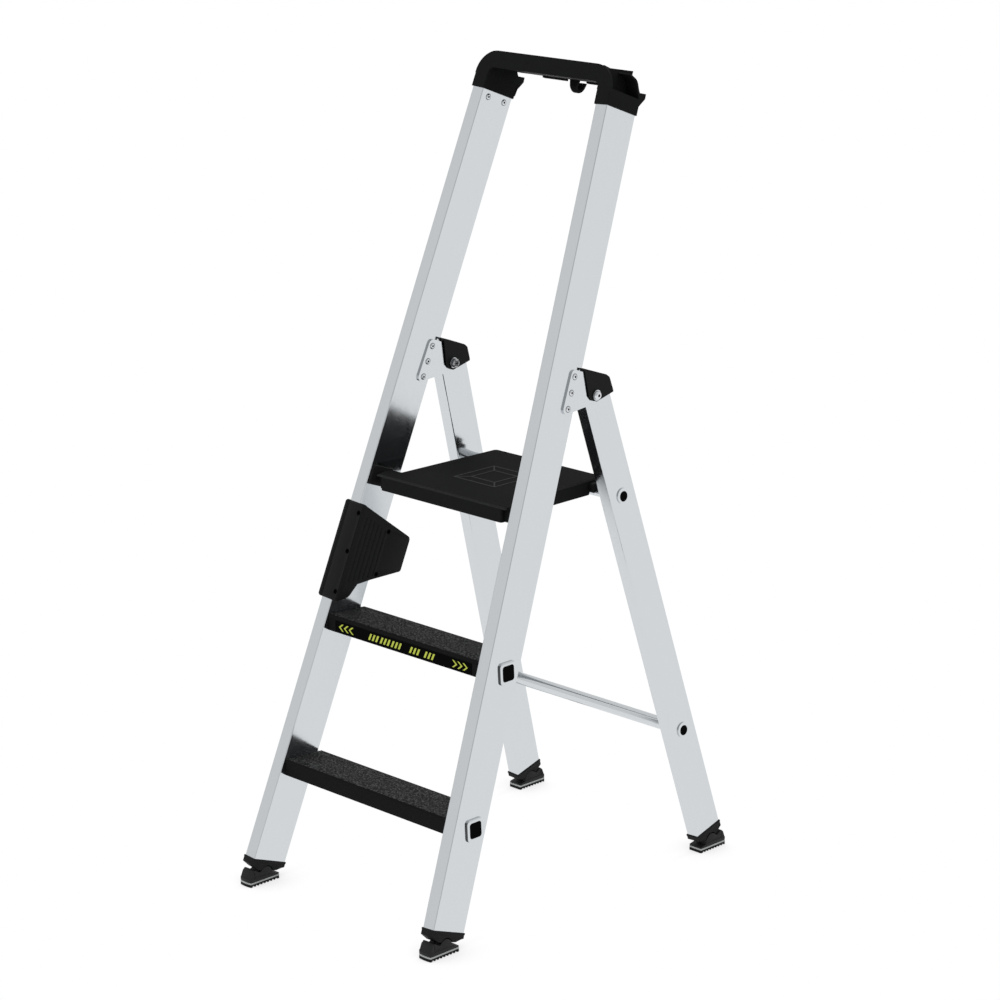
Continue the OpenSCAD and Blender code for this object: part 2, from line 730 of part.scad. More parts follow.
module leg_head_cap(side) {
    s = head_s;
    skin = 2.4;
    tongue_half = leg_w / 2 - leg_wall - seat_fit;
    tongue_low = s + bush_r + 1.5;
    color("#242526") difference() {
        in_leg(side) {
            for (face = [-1, 1]) mirror([face < 0 ? 1 : 0, 0, 0])
                side_slab(hood_in, hood_out) soft_polygon(hood_points(s));
            side_slab(-hood_in - 0.5, hood_in + 0.5)
                soft_polygon([[10, s + 53.5, 0], [10, s + 53.5 - skin * 1.2, 0],
                    [leg_d - 6, s + 20.8 - skin, 0],
                    [leg_d + seat_fit, s + leg_head, 0],
                    [leg_d + seat_fit, s - 12, 0], [leg_d + 1.9, s - 12, 0],
                    [leg_d + 1.8, s + 13.5, 8], [leg_d - 3.6, s + 20.8, 5]]);
            side_slab(-tongue_half, tongue_half)
                polygon([[leg_wall + 8, tongue_low], [leg_d - leg_wall - 1, tongue_low],
                    [leg_d - leg_wall - 1, s + leg_head + 1], [leg_d - 9, s + 21.5],
                    [leg_wall + 10, s + 49]]);
        }
        stile_block(side, run_gap);
        pin_bore(pin_r + pin_fit);
    }
}

// ---- Platform ----

module platform_bracket(side) {
    in_x = stile_x(deck_pivot_s) - stile_w / 2;
    color("#1d1e1f") difference() {
        union() {
            in_stile(side) side_slab(-stile_w / 2 - 4, -stile_w / 2)
                soft_polygon([[3, deck_pivot_s - 13.5, 3], [60, deck_pivot_s - 13.5, 4],
                    [60, deck_pivot_s + 8, 10], [46, deck_pivot_s + 20, 8],
                    [3, deck_pivot_s + 20, 8]]);
            front_frame() mirror([side < 0 ? 1 : 0, 0, 0])
                translate([0, deck_pivot_v, deck_pivot_s]) x_cylinder(11, ear_half + 1.5, in_x - 2);
        }
        front_frame() translate([0, deck_pivot_v, deck_pivot_s])
            x_cylinder(deck_pin_r + seat_fit, -half_base, half_base);
    }
}

deck_bush_r = deck_pin_r + bush_wall;
boss_len = 12;

module platform_pins() {
    color("#d0d4d7") for (side = [-1, 1])
        front_frame() mirror([side < 0 ? 1 : 0, 0, 0])
            translate([0, deck_pivot_v, deck_pivot_s])
                x_cylinder(deck_pin_r, ear_half - boss_len - 1, stile_x(deck_pivot_s) - stile_w / 2 + 1.5);
}

module platform_bushes() {
    color("#e8e6dc") for (side = [-1, 1]) mirror([side < 0 ? 1 : 0, 0, 0])
        translate([0, deck_pivot_y, deck_pivot_z]) difference() {
            x_cylinder(deck_bush_r, ear_half - boss_len, ear_half);
            x_cylinder(deck_pin_r + pin_fit, ear_half - 2 * boss_len, ear_half + 2);
        }
}

// Plan of the platform's top, drawn smaller by an inset
module deck_plan(inset) {
    ear = ear_half - inset;
    front = deck_half_front - inset;
    back = deck_half_back - inset;
    soft_polygon([
        [-ear, deck_nose + inset, 3], [ear, deck_nose + inset, 3],
        [ear, ear_back - inset, 2], [front, ear_back - inset, 2],
        [back, deck_back - inset, 6], [-back, deck_back - inset, 6],
        [-front, ear_back - inset, 2], [-ear, ear_back - inset, 2]]);
}

// Plan of the skirt, set back below the ears
module skirt_plan(inset) {
    ear = ear_half - inset;
    wide = skirt_half - inset;
    front = deck_half_front - inset;
    back = deck_half_back - inset;
    stepped = deck_nose + ear_step + inset;
    soft_polygon([
        [-wide, deck_nose + inset, 4], [wide, deck_nose + inset, 4],
        [wide, stepped, 1], [ear, stepped, 1],
        [ear, ear_back - inset, 2], [front, ear_back - inset, 2],
        [back, deck_back - inset, 6], [-back, deck_back - inset, 6],
        [-front, ear_back - inset, 2], [-ear, ear_back - inset, 2],
        [-ear, stepped, 1], [-wide, stepped, 1]]);
}

// The space that the upper cross tube needs as the platform swings up
module tube_way(from, to) {
    r = cross_r + run_gap;
    side_slab(from, to) translate([upper_tube_y, upper_tube_z]) {
        circle(r);
        polygon([[-r, 0], [r, 0], [r, -3 * r], [-2.4 * r, -3 * r]]);
    }
}

module platform_deck() {
    color("#232425") difference() {
        union() {
            translate([0, 0, deck_z - deck_t]) linear_extrude(deck_t) deck_plan(2.4);
            translate([0, 0, deck_z - deck_t]) linear_extrude(deck_t * 0.7) deck_plan(0.9);
            translate([0, 0, deck_z - deck_t]) linear_extrude(deck_t * 0.3) deck_plan(0);
            translate([0, 0, deck_z - skirt_h]) linear_extrude(skirt_h - 1) difference() {
                skirt_plan(0.6);
                skirt_plan(0.6 + deck_t);
            }
            deck_ribs();
            deck_ears();
            deck_emboss();
        }
        for (side = [-1, 1]) mirror([side < 0 ? 1 : 0, 0, 0])
            translate([0, deck_pivot_y, deck_pivot_z])
                x_cylinder(deck_bush_r + seat_fit, ear_half - 2 * boss_len, ear_half + 2);
        tube_way(-ear_half, ear_half);
    }
}

// Stiffening ribs under the standing surface
module deck_ribs() {
    rib_h = 14;
    rib_t = 2;
    for (x = [-80, -40, 0, 40, 80])
        translate([x - rib_t / 2, deck_nose + deck_t, deck_z - rib_h])
            cube([rib_t, upper_tube_y - 14 - deck_nose - deck_t, rib_h - 1]);
    for (y = [deck_pivot_y + 50, deck_pivot_y + 110, deck_pivot_y + 170])
        translate([-deck_half(y) + deck_t, y, deck_z - rib_h])
            cube([2 * deck_half(y) - 2 * deck_t, rib_t, rib_h - 1]);
}

// The solid blocks around the platform's own hinge bushes
module deck_ears() {
    for (side = [-1, 1]) mirror([side < 0 ? 1 : 0, 0, 0])
        translate([ear_half - boss_len, deck_nose + ear_step + 1.5, deck_z - skirt_h + 1])
            cube([boss_len - 0.6, ear_len - ear_step - 2, skirt_h - 2]);
}

// Two mitred squares standing a little proud of the surface
module deck_emboss() {
    line = 2.4;
    proud = 0.5;
    centre_y = (deck_nose + deck_back) / 2 - 2;
    outer = 98;
    inner = 57;
    translate([0, centre_y, deck_z - 0.5]) linear_extrude(proud + 0.5) {
        for (size = [outer, inner]) difference() {
            square(size, center = true);
            square(size - 2 * line, center = true);
        }
        for (turn = [0 : 3]) rotate(45 + 90 * turn)
            translate([inner / sqrt(2) - line, -line / 2])
                square([(outer - inner) / sqrt(2), line]);
    }
}

// Lugs beside the skirt that sit over the upper cross tube
module platform_catches() {
    low = upper_tube_z - 4;
    out = deck_half_back + 11;
    color("#18191a") difference() {
        for (side = [-1, 1]) mirror([side < 0 ? 1 : 0, 0, 0])
            translate([0, 0, 0]) difference() {
                side_slab(deck_half_back - 4, out) soft_polygon([
                    [upper_tube_y - catch_back, low + 4, 3], [upper_tube_y - catch_back, deck_z - 5, 3],
                    [upper_tube_y + cross_r + 3, deck_z - 5, 3], [upper_tube_y + cross_r + 3, low, 2],
                    [upper_tube_y - catch_back + 4, low, 0]]);
                translate([0, 0, deck_z - skirt_h - 20]) linear_extrude(60) deck_plan(-0.05);
            }
        tube_way(-ear_half, ear_half);
    }
}

// ---- Carry pad ----

// Side view of the pad's cheeks, as [depth behind the front face, height above pad_low]
module pad_outline(inset) {
    back = stile_d + pad_flap - inset;
    low = inset;
    high = pad_len - inset;
    front = -pad_web + inset;
    soft_polygon([
        [front, low, 5 - inset], [front, high, 5 - inset], [6, high - 5, 3],
        [back, high - 41, 8], [back, low + 75, 5], [66, low + 51, 2], [36, low + 38, 6],
        [24.5, low + 14, 6], [6, low + 4, 4]]);
}

// Heights of the pad's upper and lower edges at one depth, for its ribs
function rib_top(v) = pad_len - 20 - 0.283 * v;
function rib_low(v) = 36 + 0.34 * v;

module carry_pad() {
    wall_in = stile_w / 2 + pad_inner;
    wall_out = stile_w / 2 + pad_outer;
    gap = seat_fit;
    rib_deep = 0.9;
    seam_x = stile_w / 2 - 3.2;
    color("#262728") in_stile(-1) translate([0, 0, pad_low]) difference() {
        union() {
            side_slab(-wall_in + 1.5, wall_out - 2) pad_outline(0);
            side_slab(-wall_in, wall_out) pad_outline(1.5);
        }
        translate([-stile_w / 2 - gap, -gap, -overshoot])
            cube([stile_w + 2 * gap, stile_d + 2 * gap, pad_len + 2]);
        translate([-stile_w / 2 - pad_behind, stile_d - overshoot, -overshoot])
            cube([stile_w + 2 * wall_out, pad_flap + 10, pad_len + 2]);
        translate([0, pad_cheek, -overshoot])
            cube([2 * wall_out, stile_d, pad_len + 2]);
        for (i = [0 : 5]) {
            v = 10 + 10.4 * i;
            translate([-wall_in - overshoot, v, rib_low(v)])
                cube([overshoot + rib_deep, 3.4, rib_top(v) - rib_low(v)]);
        }
        translate([seam_x, -pad_web - overshoot, -overshoot])
            cube([1.2, overshoot + 1.4, pad_len + 2]);
        for (p = flap_screws) translate([-wall_in, p[0], p[1] - pad_low]) screw_hole();
        for (p = front_screws) translate([p[0], -pad_web, p[1] - pad_low])
            rotate([0, 0, 90]) screw_hole();
    }
}

screw_head_r = 3;
screw_head_h = 2;
screw_deep = 1.2;
// The pad's screws: [depth, distance along the stile] on its flap and [X, distance] on its front
flap_screws = [[72, pad_low + 138], [72, pad_low + 62]];
front_screws = [for (rise = [18.5, 90, 157.5]) [-stile_w / 2 - pad_inner / 2, pad_low + rise]];

// A countersunk hole entered from -X
module screw_hole() {
    x_cylinder(screw_head_r + seat_fit, -overshoot, screw_deep + screw_head_h);
    x_cylinder(1.6, 0, screw_deep + 5);
}

// A cross-head screw whose head sits at the bottom of its hole
module cross_screw() {
    translate([screw_deep, 0, 0]) difference() {
        union() {
            x_cylinder(screw_head_r, 0, screw_head_h);
            x_cylinder(1.55, 0.5, 4.6);
        }
        translate([-0.1, -0.5, -2.2]) cube([0.9, 1, 4.4]);
        translate([-0.1, -2.2, -0.5]) cube([0.9, 4.4, 1]);
    }
}

module carry_pad_screws() {
    wall_in = stile_w / 2 + pad_inner;
    color("#3a3c3e") in_stile(-1) {
        for (p = flap_screws) translate([-wall_in, p[0], p[1]]) cross_screw();
        for (p = front_screws) translate([p[0], -pad_web, p[1]]) rotate([0, 0, 90]) cross_screw();
    }
}

// ---- Feet ----

lug_half = 4;
lug_r = 6;
neck_half = 4;
foot_pin_r = 2.5;
arch_r = 15;
knuckle_half = 9.5;
knuckle_toe = 9;
knuckle_heel = 9;
knuckle_up = 5;
trunnion_r = 2.5;
trunnion_len = 3.2;
upper_half = 13;
shoe_slack = 1.6;
housing_wall = 1.5;

// Moulded end cap about the foot joint; y grows toward the toe
module foot_cap(w, d, wall, taper) {
    h = d / 2;
    inner_w = w - 2 * wall - 2 * seat_fit;
    inner_d = d - 2 * wall - 2 * seat_fit;
    difference() {
        union() {
            side_slab(-w / 2 - 0.8, w / 2 + 0.8) soft_polygon([
                [-h - 0.8, cap_rise - seat_fit, 0], [-h - 0.8, 15, 0], [-h + 5, 13.5, 1],
                [-h + 16, 8.4, 1], [h - 22, 5.7, 0], [h - 15, 5.7, 1],
                [h + 0.8, 13, 1], [h + 0.8, cap_rise - seat_fit, 0]]);
            translate([-w / 2 - 1.6, -h - 1.6, cap_rise - 3])
                linear_extrude(3 - seat_fit) translate([w / 2 + 1.6, 0])
                    soft_rect(w + 3.2, d + 3.2, 1.5);
            translate([-inner_w / 2, -inner_d / 2, cap_rise - 1]) cube([inner_w, inner_d, 26]);
        }
        translate([-inner_w / 2 + 2, -inner_d / 2 + 2, cap_rise + 3])
            cube([inner_w - 4, inner_d - 4, 30]);
        rotate([0, taper, 0]) x_cylinder(arch_r, -w, w);
    }
    rotate([0, taper, 0]) difference() {
        side_slab(-lug_half, lug_half) {
            circle(lug_r);
            translate([-neck_half, 0]) square([2 * neck_half, arch_r + 3]);
        }
        x_cylinder(foot_pin_r + seat_fit, -w, w);
    }
}

module foot_cap_front(side) {
    color("#1f2021") front_frame()
        mirror([side < 0 ? 1 : 0, 0, 0]) translate([stile_x(front_axis_s), stile_d / 2, front_axis_s])
            rotate([0, -stile_taper, 0]) mirror([0, 1, 0])
                foot_cap(stile_w, stile_d, stile_wall, stile_taper);
}

module foot_cap_rear(side) {
    color("#1f2021") rear_frame()
        mirror([side < 0 ? 1 : 0, 0, 0]) translate([leg_x(rear_axis_s), leg_d / 2, rear_axis_s])
            rotate([0, -leg_taper, 0])
                foot_cap(leg_w, leg_d, leg_wall, leg_taper);
}

module foot_pins(row) {
    color("#d0d4d7") for (side = [-1, 1])
        at_foot(side, row) translate([0, 0, foot_axis_z])
            x_cylinder(foot_pin_r, -knuckle_half, knuckle_half);
}

module foot_knuckle(side, row) {
    color("#3a3c3e") at_foot(side, row) translate([0, 0, foot_axis_z]) difference() {
        union() {
            translate([-knuckle_half, -knuckle_toe, -knuckle_up])
                cube([2 * knuckle_half, knuckle_toe + knuckle_heel, 2 * knuckle_up]);
            y_cylinder(trunnion_r, -knuckle_toe - trunnion_len, knuckle_heel + trunnion_len);
        }
        translate([-lug_half - 0.4, -knuckle_toe + 1.8, -3 * knuckle_up])
            cube([2 * lug_half + 0.8, knuckle_toe + knuckle_heel - 3.6, 6 * knuckle_up]);
        x_cylinder(foot_pin_r + pin_fit, -2 * knuckle_half, 2 * knuckle_half);
    }
}

shoe_low = tread_rubber + sole_t;
toe = -foot_setback - sole_l / 2;
heel = -foot_setback + sole_l / 2;

// Plan of the sole: a bowed toe and a straight heel
module sole_plan(inset) {
    bow = 1.5;
    w = sole_w / 2 - inset;
    soft_polygon([[-w, toe + bow + inset, 2], [-w * 0.5, toe + bow * 0.25 + inset, 0],
        [0, toe + inset, 0], [w * 0.5, toe + bow * 0.25 + inset, 0],
        [w, toe + bow + inset, 2], [w, heel - inset, 1.5], [-w, heel - inset, 1.5]]);
}

module foot_shoe(side, row) {
    a = foot_axis_z;
    dome = arch_r - 1.7;
    housing_end = knuckle_heel + trunnion_len + housing_wall;
    color("#202122") at_foot(side, row) difference() {
        union() {
            translate([0, 0, shoe_low]) linear_extrude(1.5) sole_plan(0.8);
            intersection() {
                translate([0, 0, shoe_low + 1.4]) linear_extrude(12) sole_plan(0);
                side_slab(-sole_w, sole_w) soft_polygon([
                    [toe - 1, shoe_low, 0], [heel + 1, shoe_low, 0], [heel + 1, shoe_low + 2.2, 0],
                    [15, shoe_low + 5.2, 4], [0, shoe_low + 7, 4],
                    [toe + 3, shoe_low + 7, 2], [toe - 1, shoe_low + 5, 0]]);
            }
            side_slab(-upper_half, upper_half) intersection() {
                union() {
                    translate([0, a]) circle(dome);
                    soft_polygon([[toe + 2, shoe_low, 0], [toe + 2, shoe_low + 6, 0],
                        [toe + 6.5, a + 9, 6], [toe + 11, a + 13, 2], [toe + 15, a + 11, 2],
                        [toe + 22, a + 6.5, 4], [0, a + 6.5, 0], [0, shoe_low, 0]]);
                    soft_polygon([[0, shoe_low, 0], [0, a + 8, 0], [10, a + 5.5, 2],
                        [housing_end, a + 3.4, 0.5], [housing_end + 1, a - 3, 0.5],
                        [housing_end + 1.5, shoe_low, 0]]);
                }
                translate([-sole_l, shoe_low]) square([2 * sole_l, sole_l]);
            }
        }
        translate([-knuckle_half - shoe_slack, -knuckle_toe - shoe_slack, shoe_low - overshoot])
            cube([2 * (knuckle_half + shoe_slack), knuckle_toe + knuckle_heel + 2 * shoe_slack,
                2 * foot_axis_z]);
        translate([0, 0, a]) y_cylinder(trunnion_r + pin_fit, -knuckle_toe - trunnion_len - 0.5,
            knuckle_heel + trunnion_len + 0.5);
        translate([0, 0, a]) toe_grooves();
    }
}

// Shallow grooves that part the toe from the shoe's sides
module toe_grooves() {
    for (side = [-1, 1])
        translate([side * (upper_half + 1), toe + 12, -foot_axis_z + shoe_low + 8])
            rotate([12, 0, 0]) translate([-1.6, -1, 0]) cube([3.2, 1.6, 16]);
}

module foot_sole(side, row) {
    color("#a9abac") at_foot(side, row) translate([0, 0, tread_rubber])
        linear_extrude(sole_t) sole_plan(0);
}

module foot_tread(side, row) {
    teeth = 9;
    pitch = sole_l / teeth;
    tooth_h = 3;
    color("#151617") at_foot(side, row) difference() {
        linear_extrude(tread_rubber) sole_plan(0);
        for (i = [1 : teeth - 1])
            translate([0, toe + i * pitch, 0]) side_slab(-sole_w, sole_w)
                polygon([[-pitch * 0.36, -1], [pitch * 0.36, -1], [pitch * 0.36, 0],
                    [pitch * 0.16, tooth_h], [-pitch * 0.16, tooth_h], [-pitch * 0.36, 0]]);
    }
}

front_stile(-1);  // front_stile_left
front_stile(1);  // front_stile_right
step(step_zs[0]);  // lower_step
step(step_zs[1]);  // upper_step
step_cover(step_zs[0]);  // lower_step_cover
step_cover(step_zs[1]);  // upper_step_cover
step_end_plugs();
marking_strip();
handle_bow();
tool_tray();
bucket_hook();
handle_rivets();
hinge_plate(-1, 1);  // hinge_plate_left_outer
hinge_plate(-1, -1);  // hinge_plate_left_inner
hinge_plate(1, 1);  // hinge_plate_right_outer
hinge_plate(1, -1);  // hinge_plate_right_inner
hinge_rivets();
pivot_bolts();
pivot_washers();
pivot_nuts();
platform_bracket(-1);  // platform_bracket_left
platform_bracket(1);  // platform_bracket_right
platform_pins();
carry_pad();
carry_pad_screws();
foot_cap_front(-1);  // foot_cap_front_left
foot_cap_front(1);  // foot_cap_front_right
foot_pins(-1);  // front_foot_pins
rear_leg(-1);  // rear_leg_left
rear_leg(1);  // rear_leg_right
cross_tube(lower_tube_s);  // lower_cross_tube
cross_tube(upper_tube_s);  // upper_cross_tube
cross_tube_plugs();
pivot_bushes();
leg_head_cap(-1);  // leg_head_cap_left
leg_head_cap(1);  // leg_head_cap_right
foot_cap_rear(-1);  // foot_cap_rear_left
foot_cap_rear(1);  // foot_cap_rear_right
foot_pins(1);  // rear_foot_pins
platform_deck();
platform_bushes();
platform_catches();
foot_knuckle(-1, -1);  // foot_knuckle_front_left
foot_knuckle(1, -1);  // foot_knuckle_front_right
foot_knuckle(-1, 1);  // foot_knuckle_rear_left
foot_knuckle(1, 1);  // foot_knuckle_rear_right
foot_shoe(-1, -1);  // foot_shoe_front_left
foot_shoe(1, -1);  // foot_shoe_front_right
foot_shoe(-1, 1);  // foot_shoe_rear_left
foot_shoe(1, 1);  // foot_shoe_rear_right
foot_sole(-1, -1);  // foot_sole_front_left
foot_sole(1, -1);  // foot_sole_front_right
foot_sole(-1, 1);  // foot_sole_rear_left
foot_sole(1, 1);  // foot_sole_rear_right
foot_tread(-1, -1);  // foot_tread_front_left
foot_tread(1, -1);  // foot_tread_front_right
foot_tread(-1, 1);  // foot_tread_rear_left
foot_tread(1, 1);  // foot_tread_rear_right
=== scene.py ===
import json
import math

import bmesh
import bpy
import numpy
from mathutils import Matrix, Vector
from mathutils.bvhtree import BVHTree


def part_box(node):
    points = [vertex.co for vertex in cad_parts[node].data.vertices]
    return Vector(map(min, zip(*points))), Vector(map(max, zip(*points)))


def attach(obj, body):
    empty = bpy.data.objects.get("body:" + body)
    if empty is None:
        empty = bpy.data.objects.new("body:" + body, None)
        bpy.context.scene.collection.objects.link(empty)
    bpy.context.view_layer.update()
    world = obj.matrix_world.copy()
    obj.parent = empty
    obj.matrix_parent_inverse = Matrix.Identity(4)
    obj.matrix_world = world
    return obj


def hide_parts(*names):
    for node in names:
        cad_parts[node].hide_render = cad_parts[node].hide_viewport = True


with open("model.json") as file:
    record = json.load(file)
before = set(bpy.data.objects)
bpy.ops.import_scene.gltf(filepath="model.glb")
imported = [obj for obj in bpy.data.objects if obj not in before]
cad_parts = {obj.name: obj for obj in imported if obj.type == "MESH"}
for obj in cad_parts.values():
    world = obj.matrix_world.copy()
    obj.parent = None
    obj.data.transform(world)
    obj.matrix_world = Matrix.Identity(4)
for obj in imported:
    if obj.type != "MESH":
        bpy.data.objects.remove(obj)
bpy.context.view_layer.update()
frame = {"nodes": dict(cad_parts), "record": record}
nodes = frame["nodes"]
print("frame loaded:", len(nodes), "nodes")

mm = 0.001
lean = math.radians(20.47)  # front stiles
legLean = math.radians(16.44)  # rear legs
taper = math.radians(3.26)  # stiles drawing together upward
slotOf = {part["node"]: part["material_slot"] for part in frame["record"]["subparts"]}
bodyOfNode = {}
for bodyName, members in frame["record"]["behaviour"]["bodies"].items():
    for member in members:
        bodyOfNode[member] = bodyName


def stileAxes(side):
    # outward, backward and upward directions of one front stile
    back = Vector((0, math.cos(lean), -math.sin(lean)))
    up = Vector((0, math.sin(lean), math.cos(lean)))
    out = Vector((side * math.cos(taper), 0, 0)) + up * math.sin(taper)
    along = Vector((-side * math.sin(taper), 0, 0)) + up * math.cos(taper)
    return out, back, along


# helpers for node trees, where owner is a material or the world

def addNode(owner, kind, inputs=None, **settings):
    node = owner.node_tree.nodes.new(kind)
    for key, value in settings.items():
        setattr(node, key, value)
    for key, value in (inputs or {}).items():
        node.inputs[key].default_value = value
    return node


def link(owner, source, output, target, socket):
    owner.node_tree.links.new(source.outputs[output], target.inputs[socket])


def mapRange(owner, source, output, fromLow, fromHigh, toLow=0.0, toHigh=1.0):
    ramp = addNode(owner, "ShaderNodeMapRange", {
        "From Min": fromLow,
        "From Max": fromHigh,
        "To Min": toLow,
        "To Max": toHigh,
    })
    link(owner, source, output, ramp, "Value")
    return ramp


def feed(owner, node, values):
    # each value is a number or a Vector, or a tuple of a node and the name of its output
    for index, value in enumerate(values):
        if isinstance(value, tuple):
            link(owner, *value, node, index)
        else:
            node.inputs[index].default_value = value
    return node


def maths(owner, operation, *values, clamp=False):
    return feed(owner, addNode(owner, "ShaderNodeMath", operation=operation, use_clamp=clamp), values)


def dotProduct(owner, *values):
    return feed(owner, addNode(owner, "ShaderNodeVectorMath", operation="DOT_PRODUCT"), values)


def seenDirectly(owner):
    # 1 for what the camera sees, straight or by way of shiny and clear things
    path = addNode(owner, "ShaderNodeLightPath")
    shiny = maths(owner, "MAXIMUM", (path, "Is Camera Ray"), (path, "Is Glossy Ray"))
    return maths(owner, "MAXIMUM", (shiny, "Value"), (path, "Is Transmission Ray"))


# helpers for materials

def newMaterial(name, colour, roughness=0.5, metallic=0.0, specular=0.5):
    material = bpy.data.materials.new(name)
    material.use_nodes = True
    shader = shaderOf(material)
    shader.inputs["Base Color"].default_value = (*colour, 1)
    shader.inputs["Roughness"].default_value = roughness
    shader.inputs["Metallic"].default_value = metallic
    shader.inputs["Specular IOR Level"].default_value = specular
    return material


def shaderOf(material):
    return material.node_tree.nodes["Principled BSDF"]


def noiseOn(material, size, detail=3.0, roughness=0.55, scale=(1, 1, 1), rotation=(0, 0, 0)):
    # cloudy noise fixed to the object, size is its patches per metre
    coords = addNode(material, "ShaderNodeTexCoord")
    mapping = addNode(material, "ShaderNodeMapping", {"Scale": scale, "Rotation": rotation})
    noise = addNode(material, "ShaderNodeTexNoise", {"Scale": size, "Detail": detail, "Roughness": roughness})
    link(material, coords, "Object", mapping, "Vector")
    link(material, mapping, "Vector", noise, "Vector")
    return noise


def varyGloss(material, noise, low, high):
    ramp = mapRange(material, noise, "Fac", 0.3, 0.7, low, high)
    link(material, ramp, "Result", shaderOf(material), "Roughness")


def mixColours(material, source, output, first, second, fromLow=0.3, fromHigh=0.7):
    ramp = addNode(material, "ShaderNodeValToRGB")
    start, end = ramp.color_ramp.elements
    start.position = fromLow
    start.color = (*first, 1)
    end.position = fromHigh
    end.color = (*second, 1)
    link(material, source, output, ramp, "Fac")
    link(material, ramp, "Color", shaderOf(material), "Base Color")


def addBump(material, source, output, height, strength):
    bump = addNode(material, "ShaderNodeBump", {"Strength": strength, "Distance": height})
    link(material, source, output, bump, "Height")
    link(material, bump, "Normal", shaderOf(material), "Normal")


def layOver(material, factor, output, colour):
    # lays a colour over whatever feeds the base colour
    under, over, mixed = 6, 7, 2  # the colour sockets of a mix node
    base = shaderOf(material).inputs["Base Color"]
    mix = addNode(material, "ShaderNodeMix", {over: (*colour, 1)}, data_type="RGBA")
    material.node_tree.links.new(base.links[0].from_socket, mix.inputs[under])
    link(material, factor, output, mix, 0)
    link(material, mix, mixed, shaderOf(material), "Base Color")


def upwardPart(material, output):
    # the vertical part of the object's position or normal
    coords = addNode(material, "ShaderNodeTexCoord")
    split = addNode(material, "ShaderNodeSeparateXYZ")
    link(material, coords, output, split, "Vector")
    return split


def facing(material, low, high):
    # 1 where the surface looks upward more than high, 0 where it does so less than low
    return mapRange(material, upwardPart(material, "Normal"), "Z", low, high)


# camera, light and floor

view = {
    "target": (0.0, 0.03366, 0.650),
    "back": (0.67770, -0.68443, 0.26883),  # from the target toward the camera
    "distance": 5.32783,
    "lens": 113.315,
    "sensor": 36,
    "clipEnd": 60,
}
studio = {
    "skyStrength": 0.72,
    "background": 1.0,
    "backgroundColour": (0.8, 0.8, 0.8),
    # direction of each dimmer wall, where its shade starts and how deep it is
    "walls": (((-0.68, -0.69, 0.25), -0.1, -0.03), ((0.73, -0.63, 0.23), 0.1, 0.30)),
    "lampTarget": (0, 0, 0.7),
    "lampSize": 2.6,
    "keyPlace": (-2.6, -2.4, 3.6),
    "keyPower": 60.0,
    "fillPlace": (3.2, 1.4, 2.6),
    "fillPower": 22.0,
    "floorColour": (0.86, 0.86, 0.86),
    "floorHalf": 30.0,
    "contactReach": 0.09,  # painted contact shadow on the floor under the feet
    "contactShade": 0.55,
    "contactEnd": 0.85,
}


def makeCamera():
    camera = bpy.data.objects.new("camera", bpy.data.cameras.new("camera"))
    bpy.context.scene.collection.objects.link(camera)
    back = Vector(view["back"]).normalized()
    camera.location = Vector(view["target"]) + back * view["distance"]
    camera.rotation_euler = back.to_track_quat("Z", "Y").to_euler()
    camera.data.lens = view["lens"]
    camera.data.sensor_width = view["sensor"]
    camera.data.clip_end = view["clipEnd"]
    bpy.context.scene.camera = camera


def wallShade(world, direction, start, depth):
    # shiny things see the white room, a little dimmer toward a wall
    coords = addNode(world, "ShaderNodeTexCoord")
    dot = dotProduct(world, (coords, "Generated"), Vector(direction).normalized())
    shade = mapRange(world, dot, "Value", start, 1.0, 1.0, 1.0 - depth)
    shade.interpolation_type = "SMOOTHSTEP"
    return shade


def makeWorld():
    world = bpy.data.worlds.new("studio")
    bpy.context.scene.world = world
    world.use_nodes = True
    world.node_tree.nodes.clear()
    sky = addNode(world, "ShaderNodeBackground", {"Color": (1, 1, 1, 1), "Strength": studio["skyStrength"]})
    backdrop = addNode(world, "ShaderNodeBackground", {"Color": (*studio["backgroundColour"], 1)})
    front, corner = [wallShade(world, *wall) for wall in studio["walls"]]
    room = maths(world, "MULTIPLY", (front, "Result"), (corner, "Result"))
    path = addNode(world, "ShaderNodeLightPath")
    brightness = addNode(world, "ShaderNodeMix", {"B": studio["background"]}, data_type="FLOAT")
    link(world, path, "Is Camera Ray", brightness, "Factor")
    link(world, room, "Value", brightness, "A")
    link(world, brightness, "Result", backdrop, "Strength")
    mix = addNode(world, "ShaderNodeMixShader")
    link(world, seenDirectly(world), "Value", mix, "Fac")
    link(world, sky, "Background", mix, 1)
    link(world, backdrop, "Background", mix, 2)
    output = addNode(world, "ShaderNodeOutputWorld")
    link(world, mix, "Shader", output, "Surface")


def makeLamp(name, place, power):
    lamp = bpy.data.objects.new(name, bpy.data.lights.new(name, "AREA"))
    bpy.context.scene.collection.objects.link(lamp)
    lamp.location = place
    toLamp = Vector(place) - Vector(studio["lampTarget"])
    lamp.rotation_euler = toLamp.to_track_quat("Z", "Y").to_euler()
    lamp.data.energy = power
    lamp.data.size = studio["lampSize"]
    lamp.visible_glossy = False
    lamp.visible_camera = False


